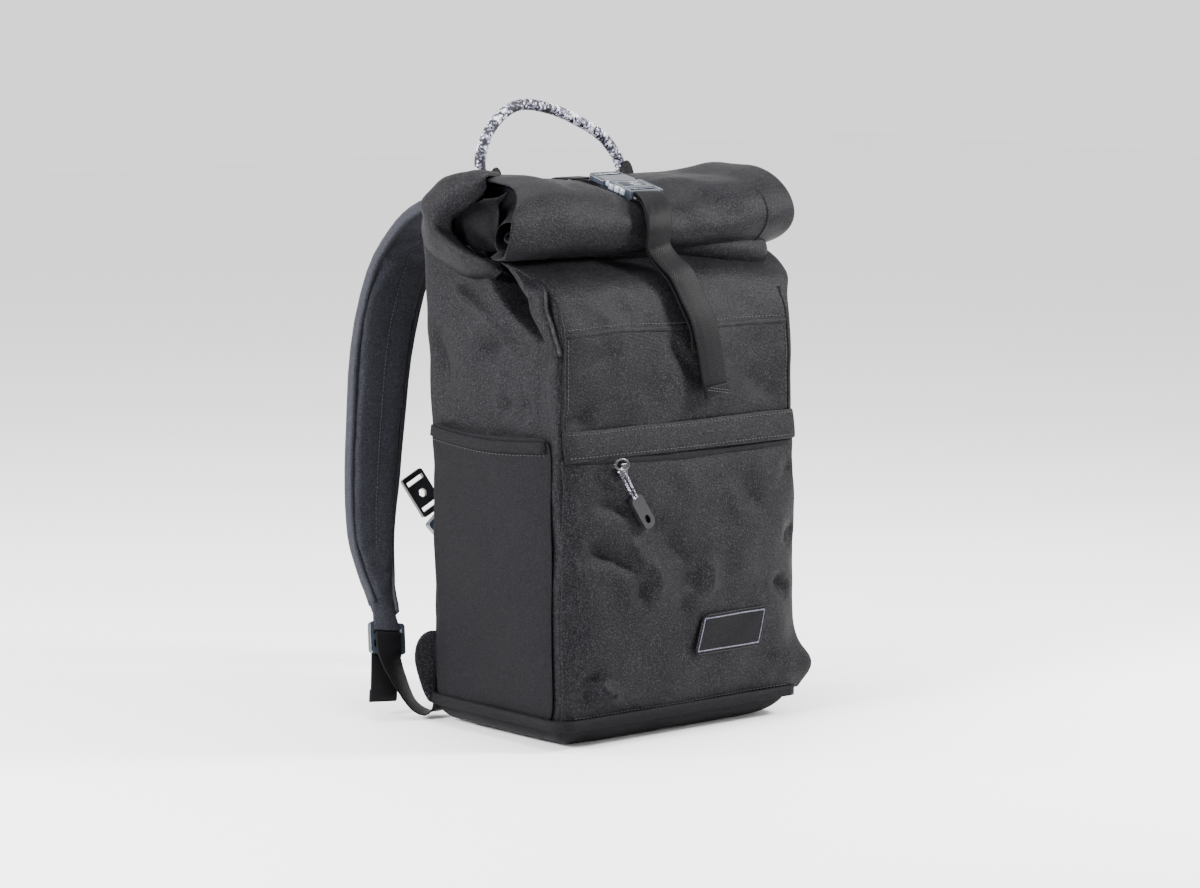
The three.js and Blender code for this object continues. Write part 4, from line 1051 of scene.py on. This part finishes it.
# Webbing: ribbed polypropylene tape with a tight edge, sewn at one end and hemmed at the other. It closes
# the roll, adjusts the straps and joins them across the chest.
def ribbed_tape(name, dark, light, pitch):
    """Woven tape: small slanting ribs that meet in a herringbone, coloured lighter where the ribs and the
    fuzz stand higher.
    """
    material = bpy.data.materials.new(name)
    tree, shader, place = cloth_nodes(material)
    weave = tree.nodes.new("ShaderNodeUVMap")
    weave.uv_map = "weave"
    parts = joined(tree, "ShaderNodeSeparateXYZ", Vector=weave.outputs["UV"])
    folded = joined(tree, "ShaderNodeMath", i0=parts.outputs["X"], i1=0.0042)
    folded.operation = "PINGPONG"
    slant = joined(tree, "ShaderNodeMath", i0=parts.outputs["Y"], i1=folded.outputs[0])
    slant.operation = "ADD"
    lines = joined(tree, "ShaderNodeMath", i0=slant.outputs[0], i1=2 * math.pi / pitch)
    lines.operation = "MULTIPLY"
    ribs = joined(tree, "ShaderNodeMath", i0=lines.outputs[0])
    ribs.operation = "SINE"
    fuzz = joined(tree, "ShaderNodeTexNoise", Vector=place.outputs["Object"], Scale=1500.0, Detail=2.0)
    mixed = joined(tree, "ShaderNodeMath", i0=ribs.outputs[0], i1=0.25)
    mixed.operation = "MULTIPLY"
    total = joined(tree, "ShaderNodeMath", i0=mixed.outputs[0], i1=fuzz.outputs["Fac"])
    total.operation = "ADD"
    tree.links.new(ramp(tree, total.outputs[0], [(0.2, dark), (0.85, light)]), shader.inputs["Base Color"])
    bump = joined(tree, "ShaderNodeBump", Height=total.outputs[0], Strength=0.6, Distance=0.0004)
    tree.links.new(bump.outputs["Normal"], shader.inputs["Normal"])
    shader.inputs["Roughness"].default_value = 0.5
    shader.inputs["Specular IOR Level"].default_value = 0.07
    return material


webbing_tape = ribbed_tape("black_webbing", (0.0010, 0.0010, 0.0012), (0.0062, 0.0060, 0.0070), 0.0024)


def tape(name, node, rows, thickness, steps=3):
    """A length of webbing in place of a packed one."""
    piece = swept(name, stations_from(rows, thickness, steps), tape_outline, webbing_tape)
    if node:
        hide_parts(node)
    return piece


anchor_rows = [
    (21, -87.4, 316, 0.99, 0, 0.14, 26),
    (19, -88.2, 334.3, 0.99, 0, 0.16, 26),
    (14, -82.3, 352.4, 0.99, 0.04, 0.18, 26),
    (10.5, -77, 366.3, 0.99, 0.03, 0.18, 26),
    (7, -72.2, 377.1, 0.99, 0.02, 0.18, 26),
    (2, -64.6, 387.7, 0.99, 0.04, 0.18, 26),
    (-3, -58.5, 399.5, 0.99, 0.02, 0.18, 26),
    (-4, -59.6, 407.5, 0.99, -0.01, 0.18, 26),
    (-4, -60.6, 415.9, 0.98, 0.04, 0.2, 26),
    (-2, -57.4, 425.2, 0.97, 0.1, 0.22, 26),
    (1, -51.5, 432.6, 0.97, 0.15, 0.2, 26),
    (4, -43.2, 437.8, 0.98, 0.1, 0.1, 26),
    (6, -33.5, 441.2, 1, -0.02, -0.03, 26),
]
tape("anchor_webbing", "closure_anchor", anchor_rows, 0.0016)
tail_rows = [
    (5, -36.6, 444.3, 0.98, 0.1, 0.1, 26),
    (3, -45.6, 440.3, 0.97, 0.18, 0.16, 26),
    (0, -53.7, 434.4, 0.97, 0.15, 0.2, 25.6),
    (-3, -59.9, 426.5, 0.97, 0.1, 0.22, 25),
    (-5, -62.8, 416.4, 0.98, 0.03, 0.2, 25),
    (-5, -61.6, 407.6, 0.98, -0.01, 0.18, 25),
    (-3, -60.5, 399.8, 0.98, 0.01, 0.18, 25),
    (1, -66.8, 390.4, 0.98, 0.06, 0.18, 25),
    (6, -75.4, 381.2, 0.98, 0.02, 0.18, 25.6),
    (10, -79.9, 370.9, 0.98, 0.02, 0.18, 26),
    (13, -83.6, 360.2, 0.98, 0.03, 0.18, 26),
    (17.5, -89.4, 344.9, 0.98, 0.04, 0.18, 26),
    (22, -92.4, 325, 0.98, 0.01, 0.18, 26),
    (26.2, -93.4, 302.1, 0.98, 0.01, 0.17, 26),
    (30, -94.6, 279.4, 0.98, 0.01, 0.17, 26),
]
tape("tail_webbing", "closure_tail", tail_rows, 0.0016)
hem_rows = [
    (30.1, -95.7, 279, 0.99, 0.01, 0.17, 26.4),
    (29.5, -95.9, 283, 0.99, 0.01, 0.17, 26.4),
    (28.9, -95.7, 288, 0.99, 0.01, 0.17, 26.4),
]
hem = tape("tail_hem", None, hem_rows, 0.002)
stitched(
    "hem_stitches",
    surface_of(hem),
    [[(17.6, -110, 286.8), (40.6, -110, 282.9)], [(17.8, -110, 284.6), (40.4, -110, 280.8)]],
    front_way,
    pitch=0.003,
    length=0.0022,
)
back_rows = [
    (6, 19, 455.4, 1, 0, 0, 26),
    (6, 28, 452.8, 1, 0, 0, 26),
    (6, 41, 451.4, 1, 0, 0, 26),
    (6, 57.5, 450.6, 1, 0, 0, 26),
    (6, 70.4, 450.4, 1, 0, 0, 26),
    (6, 79, 448.4, 1, 0, 0, 26),
]
tape("back_webbing", "closure_back_web", back_rows, 0.0016)

loop_rows = [
    (-112, 84.3, 40, 1, 0, 0.03, 25),
    (-111.7, 84.4, 30.9, 1, 0, -0.01, 25),
    (-112.7, 85.8, 21.2, 0.98, 0.04, -0.18, 25),
    (-115.7, 89, 11.6, 0.9, 0.3, -0.32, 25),
    (-120.5, 93.4, 6, 0.72, 0.67, -0.2, 25),
    (-126.3, 98.1, 5, 0.63, 0.77, 0.06, 25),
    (-132.2, 102.7, 9.2, 0.68, 0.72, 0.14, 25),
    (-136.4, 105.7, 15.8, 0.75, 0.65, 0.14, 25),
    (-141.5, 108.3, 27.3, 0.78, 0.56, 0.27, 25),
    (-150.1, 111.3, 47.8, 0.94, 0.3, 0.18, 25),
    (-149.7, 115.7, 58.5, 0.96, -0.13, -0.24, 25),
    (-147.2, 119.6, 65.5, 0.97, -0.13, -0.2, 25),
    (-146, 121.5, 70.5, 0.97, -0.17, -0.17, 25),
    (-145.3, 123.9, 71.9, 0.97, -0.18, -0.16, 25),
    (-144.9, 126.4, 71.5, 0.97, -0.18, -0.16, 25),
    (-144.9, 128.3, 69.7, 0.97, -0.18, -0.16, 25),
    (-145.4, 128.5, 66.5, 0.97, -0.18, -0.16, 25),
    (-146.5, 126.8, 61.7, 0.97, -0.18, -0.17, 25),
    (-148.4, 124.4, 53.6, 0.97, -0.18, -0.15, 25),
    (-149.8, 122.9, 42.9, 0.98, -0.17, -0.07, 25),
    (-150.6, 122.4, 26, 0.98, -0.18, -0.05, 25),
    (-151.0, 122.6, 14, 0.98, -0.18, -0.05, 25),
]
tip_rows = [
    (-150.4, 123.9, 24, 0.98, -0.18, -0.05, 25.4),
    (-150.7, 124.1, 18, 0.98, -0.18, -0.05, 25.4),
    (-151.0, 124.1, 13, 0.98, -0.18, -0.05, 25.4),
]
for side, sign in sides:
    lower_rows = mirrored(loop_rows, sign)
    tape(f"adjuster_webbing_{side}", f"lower_webbing_{side}", lower_rows, 0.0015, 2)
    tape(f"adjuster_hem_{side}", None, mirrored(tip_rows, sign), 0.0024)

sternum_rows = [
    (-42.4, 151.1, 130.6, 0.8, -0.01, 0.6, 20),
    (-41.3, 150.7, 129.1, 0.8, -0.03, 0.6, 20),
    (-40.2, 150.2, 127.7, 0.77, -0.03, 0.64, 20),
    (-38.9, 149.8, 126.1, 0.67, 0, 0.75, 20),
    (-35.6, 149.2, 123.5, 0.58, 0, 0.81, 20),
    (-30.3, 148.7, 120, 0.52, 0, 0.86, 20),
    (-24.2, 148.4, 116.7, 0.42, 0, 0.91, 20),
    (-17.5, 148.1, 114, 0.32, 0, 0.95, 20),
    (-9.2, 148, 111.6, 0.23, 0, 0.97, 20),
    (-0.5, 148, 110, 0.1, 0, 1, 20),
    (8, 148.2, 109.9, -0.09, 0, 1, 20),
    (16.1, 148.4, 111.5, -0.28, -0.01, 0.96, 20),
    (24.1, 148.8, 114.5, -0.41, -0.01, 0.91, 20),
    (31.6, 149.7, 118.5, -0.5, -0.02, 0.87, 20),
    (38.6, 151.6, 123, -0.59, -0.03, 0.81, 20),
    (45.2, 154.5, 128.5, -0.67, -0.03, 0.74, 20),
    (51.1, 157.4, 134.6, -0.75, -0.03, 0.66, 20),
    (56.1, 159.1, 140.9, -0.83, -0.02, 0.56, 20),
    (59.9, 159.6, 147.6, -0.89, -0.01, 0.46, 20),
    (63.2, 159.6, 154.5, -0.9, 0, 0.43, 20),
    (66.6, 159.7, 161.5, -0.9, 0, 0.44, 20),
]
tape("chest_webbing", "sternum_web", sternum_rows, 0.0015, 2)


# Haul loop: a stiff braided rope of dark, white and lavender strands, sewn at both ends behind folded
# triangles of the bag's cloth.
def braided_rope(name, pitch, turns):
    """A braid: crossing strands in three tones, with a low relief."""
    material = bpy.data.materials.new(name)
    tree, shader, place = cloth_nodes(material)
    weave = tree.nodes.new("ShaderNodeUVMap")
    weave.uv_map = "weave"
    parts = joined(tree, "ShaderNodeSeparateXYZ", Vector=weave.outputs["UV"])
    round_way = joined(tree, "ShaderNodeMath", i0=parts.outputs["X"], i1=float(turns))
    round_way.operation = "MULTIPLY"
    long_way = joined(tree, "ShaderNodeMath", i0=parts.outputs["Y"], i1=1 / pitch)
    long_way.operation = "MULTIPLY"
    cells = []
    for sign in (1.0, -1.0):
        slant = joined(tree, "ShaderNodeMath", i0=round_way.outputs[0], i1=sign, i2=long_way.outputs[0])
        slant.operation = "MULTIPLY_ADD"
        cells.append(slant.outputs[0])
    steps = []
    for cell in cells:
        step = joined(tree, "ShaderNodeMath", i0=cell)
        step.operation = "FLOOR"
        steps.append(step.outputs[0])
    strand = joined(tree, "ShaderNodeCombineXYZ", X=steps[0], Y=steps[1])
    shade = joined(tree, "ShaderNodeTexWhiteNoise", Vector=strand.outputs[0])
    patches = joined(tree, "ShaderNodeTexNoise", Vector=place.outputs["Object"], Scale=95.0, Detail=1.0)
    both = joined(tree, "ShaderNodeMath", i0=shade.outputs["Value"], i1=0.45, i2=patches.outputs["Fac"])
    both.operation = "MULTIPLY_ADD"
    tone = ramp(
        tree,
        both.outputs[0],
        [(0.0, (0.010, 0.010, 0.014)), (0.72, (0.12, 0.12, 0.17)), (0.86, (0.52, 0.52, 0.6))],
    )
    tone.node.color_ramp.interpolation = "CONSTANT"
    tree.links.new(tone, shader.inputs["Base Color"])
    humps = []
    for cell in cells:
        part = joined(tree, "ShaderNodeMath", i0=cell)
        part.operation = "FRACT"
        hump = joined(tree, "ShaderNodeMath", i0=part.outputs[0], i1=0.5)
        hump.operation = "PINGPONG"
        humps.append(hump.outputs[0])
    relief = joined(tree, "ShaderNodeMath", i0=humps[0], i1=humps[1])
    relief.operation = "MULTIPLY"
    bump = joined(tree, "ShaderNodeBump", Height=relief.outputs[0], Strength=0.9, Distance=0.0012)
    tree.links.new(bump.outputs["Normal"], shader.inputs["Normal"])
    shader.inputs["Roughness"].default_value = 0.6
    shader.inputs["Specular IOR Level"].default_value = 0.25
    return material


round_outline = [(math.cos(2 * math.pi * i / 16), math.sin(2 * math.pi * i / 16)) for i in range(16)]
rope_braid = braided_rope("flecked_rope", 0.0021, 11)
# The rope's route: share of its span across, and share of its rise.
rope_middle, rope_depth, rope_span, rope_rise, rope_width = 5, 91.0, 150, 70, 9.5
rope_rows = [
    (-0.46, 0),
    (-0.49, 0.16),
    (-0.5, 0.36),
    (-0.44, 0.66),
    (-0.33, 0.88),
    (-0.19, 0.97),
    (0.01, 0.9),
    (0.2, 0.75),
    (0.37, 0.56),
    (0.48, 0.33),
    (0.52, 0.14),
    (0.52, 0),
]
rope_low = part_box("haul_loop")[0].z * 1000
rope_path = []
for x, z in rope_rows:
    place = (rope_middle + rope_span * x, rope_depth, rope_low + rope_rise * z)
    rope_path.append((*place, 0, 1, 0, rope_width))
rope_stations = stations_from(rope_path, rope_width / 1000, 8)
rope = swept("haul_rope", rope_stations, round_outline, rope_braid, turn=True)
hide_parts("haul_loop")
tab_crease = 0.445
for side, _ in sides:
    haul_tab = soft_copy(f"haul_tab_{side}", f"rope_tab_{side}", heathered, 3)
    for vertex in haul_tab.data.vertices:
        vertex.co.z += max(0, vertex.co.z - tab_crease) * 0.9
    crumple(haul_tab.data, 0.02, 0.001, 25)
    lay_weave(haul_tab.data)
    low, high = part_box(f"haul_tab_{side}")
    edge = 1000 * (low + high) / 2
    stitched(
        f"rope_tab_stitches_{side}",
        surface_of(haul_tab),
        [
            [(edge.x - 12, 70, 439), (edge.x - 3, 70, 452)],
            [(edge.x + 12, 70, 439), (edge.x + 4, 70, 452)],
        ],
        front_way,
    )


# Wing tabs: triangles of the same cloth, folded double and sewn into the lower back corners, where they
# take the pull of the adjuster webbing.
for side, sign in sides:
    wing = soft_copy(f"wing_tab_{side}", f"corner_wing_{side}", heathered, 3)
    for vertex in wing.data.vertices:
        vertex.co.x -= sign * 0.003
        vertex.co.y -= 0.002
    crumple(wing.data, 0.025, 0.0015, 27)
    lay_weave(wing.data)
    wing_face = surface_of(wing)
    way = (sign * 0.35, -0.93, 0)
    stitched(
        f"wing_stitches_{side}",
        wing_face,
        [[(sign * 132, 82, 20), (sign * 145, 84, 34), (sign * 149, 86, 54), (sign * 145, 85, 68)]],
        way,
    )


# Buckles, ladder locks and sliders: moulded acetal with rounded edges and a soft gloss, slate blue on
# the closure and the locks, black on the chest sliders. They're held by the webbing through their bars.
def moulded(name, base, light, roughness):
    """Moulded plastic: slight unevenness in colour and gloss, and fine scuffs."""
    material = bpy.data.materials.new(name)
    tree, shader, place = cloth_nodes(material)
    flow = joined(tree, "ShaderNodeTexNoise", Vector=place.outputs["Object"], Scale=90.0, Detail=3.0)
    tree.links.new(ramp(tree, flow.outputs["Fac"], [(0.35, base), (0.7, light)]), shader.inputs["Base Color"])
    grain = joined(tree, "ShaderNodeTexNoise", Vector=place.outputs["Object"], Scale=1800.0, Detail=2.0)
    bump = joined(tree, "ShaderNodeBump", Height=grain.outputs["Fac"], Strength=0.12, Distance=0.0002)
    tree.links.new(bump.outputs["Normal"], shader.inputs["Normal"])
    shader.inputs["Roughness"].default_value = roughness
    shader.inputs["Specular IOR Level"].default_value = 0.5
    return material


slate = moulded("slate_plastic", (0.016, 0.021, 0.030), (0.024, 0.031, 0.043), 0.2)
gloss_black = moulded("black_plastic", (0.005, 0.005, 0.006), (0.009, 0.009, 0.011), 0.28)


def finish_moulding(node, material, edge):
    """Gives a packed moulding its material and rounded edges."""
    thing = frame["nodes"][node]
    thing.data.materials.clear()
    thing.data.materials.append(material)
    merged = thing.modifiers.new("merged", "WELD")
    merged.merge_threshold = 0.00001
    rounded = thing.modifiers.new("rounded", "BEVEL")
    rounded.width = edge
    rounded.segments = 3
    rounded.limit_method = "ANGLE"
    rounded.angle_limit = math.radians(35)


for node in ("ladder_lock_left", "ladder_lock_right", "sternum_buckle_female", "sternum_buckle_male"):
    finish_moulding(node, slate, 0.0009)
for node in ("buckle_female", "buckle_male"):
    finish_moulding(node, slate, 0.0006)
for node in ("sternum_slider_left", "sternum_slider_right", "zip_slider"):
    finish_moulding(node, gloss_black, 0.0007)
finish_moulding("pull_grip", gloss_black, 0.0016)


def blocks(name, parts, frame_of, material):
    """Small moulded blocks, each given its size, place and rounding in mm, in a set frame."""
    bm = bmesh.new()
    for size, place, edge in parts:
        single = bmesh.new()
        bmesh.ops.create_cube(single, size=1, matrix=Matrix.Diagonal((*[s / 1000 for s in size], 1)))
        bmesh.ops.bevel(
            single,
            geom=single.edges,
            offset=edge / 1000,
            offset_type="OFFSET",
            affect="EDGES",
            segments=2,
            profile=0.5,
            material=-1,
        )
        set_down = frame_of @ Matrix.Translation(Vector(place) / 1000)
        bmesh.ops.transform(single, matrix=set_down, verts=single.verts)
        scrap = bpy.data.meshes.new("part")
        single.to_mesh(scrap)
        single.free()
        bm.from_mesh(scrap)
        bpy.data.meshes.remove(scrap)
    return piece_from(bm, name, material)


buckle_frame = Matrix.Translation(Vector((0.006, -0.0339, 0.4413))) @ Matrix.Rotation(0.24, 4, "X")
ribs = [((24, 1.1, 1.2), (0, 17 + 2.2 * i, 4.1), 0.3) for i in range(4)]
prongs = [((4.2, 17, 4.6), (x, 35.5, 0.6), 1.2) for x in (-13.6, 13.6)]
prongs += [((5.5, 14, 4.2), (0, 35, 0.8), 1.2)]
rims = [((34.4, 1.8, 8.6), (0, 29.2, 0), 0.6)]
rims += [((2.0, 29, 8.8), (x, 15, 0), 0.8) for x in (-16.6, 16.6)]
blocks("buckle_ribs", ribs + rims, buckle_frame, slate)
# The prongs and side arms of the closure buckle get a much paler slate than the rest: painted highlight
# standing in for the gloss on those faces.
highlight_slate = moulded("slate_highlight_plastic", (0.16, 0.18, 0.21), (0.28, 0.30, 0.34), 0.15)
arms = [((2.2, 6.2, 5), (x, y, 0.4), 0.7) for x in (-17.3, 17.3) for y in (11, 18.2, 25.4)]
blocks("buckle_arms", arms + prongs, buckle_frame, highlight_slate)


# Zip pull: a black runner with a ring, a doubled flecked cord through it, and a moulded grip with a hole.
# The cord is tied through the ring and moulded into the grip.
cord_braid = braided_rope("flecked_cord", 0.0011, 5)
pull_lines = {
    "a": [
        (-77, -99.2, 229),
        (-72, -99.4, 223),
        (-66.5, -98.8, 215),
        (-62, -98.6, 207.5),
        (-59.5, -98.4, 203.5),
    ],
    "b": [
        (-79.5, -99.0, 226.5),
        (-74.6, -98.8, 220),
        (-69, -98.4, 212.4),
        (-64.4, -98.2, 205.8),
        (-61.5, -98.2, 202.5),
    ],
}
for tag, line in pull_lines.items():
    stations = stations_from([(*p, 0.75, 0.1, 0.65, 1.9) for p in line], 0.0019, 6)
    name = f"pull_cord_{tag}"
    swept(name, stations, round_outline, cord_braid, turn=True)
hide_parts("pull_cord")
ring_bm = bmesh.new()
hoop = bmesh.ops.create_circle(ring_bm, segments=12, radius=0.0009)["verts"]
upright = Matrix.Translation((0.0045, 0, 0)) @ Matrix.Rotation(math.pi / 2, 4, "X")
bmesh.ops.transform(ring_bm, matrix=upright, verts=hoop)
bmesh.ops.spin(
    ring_bm,
    geom=ring_bm.verts[:] + ring_bm.edges[:],
    cent=(0, 0, 0),
    axis=(0, 0, 1),
    angle=2 * math.pi,
    steps=28,
    use_merge=True,
)
bmesh.ops.recalc_face_normals(ring_bm, faces=ring_bm.faces)
ring_turn = Matrix.Translation((-0.0755, -0.0985, 0.2315)) @ Matrix.Rotation(math.radians(78), 4, "X")
bmesh.ops.transform(ring_bm, matrix=ring_turn @ Matrix.Diagonal((1.5, 1, 1, 1)), verts=ring_bm.verts)
piece_from(ring_bm, "pull_ring", gloss_black)
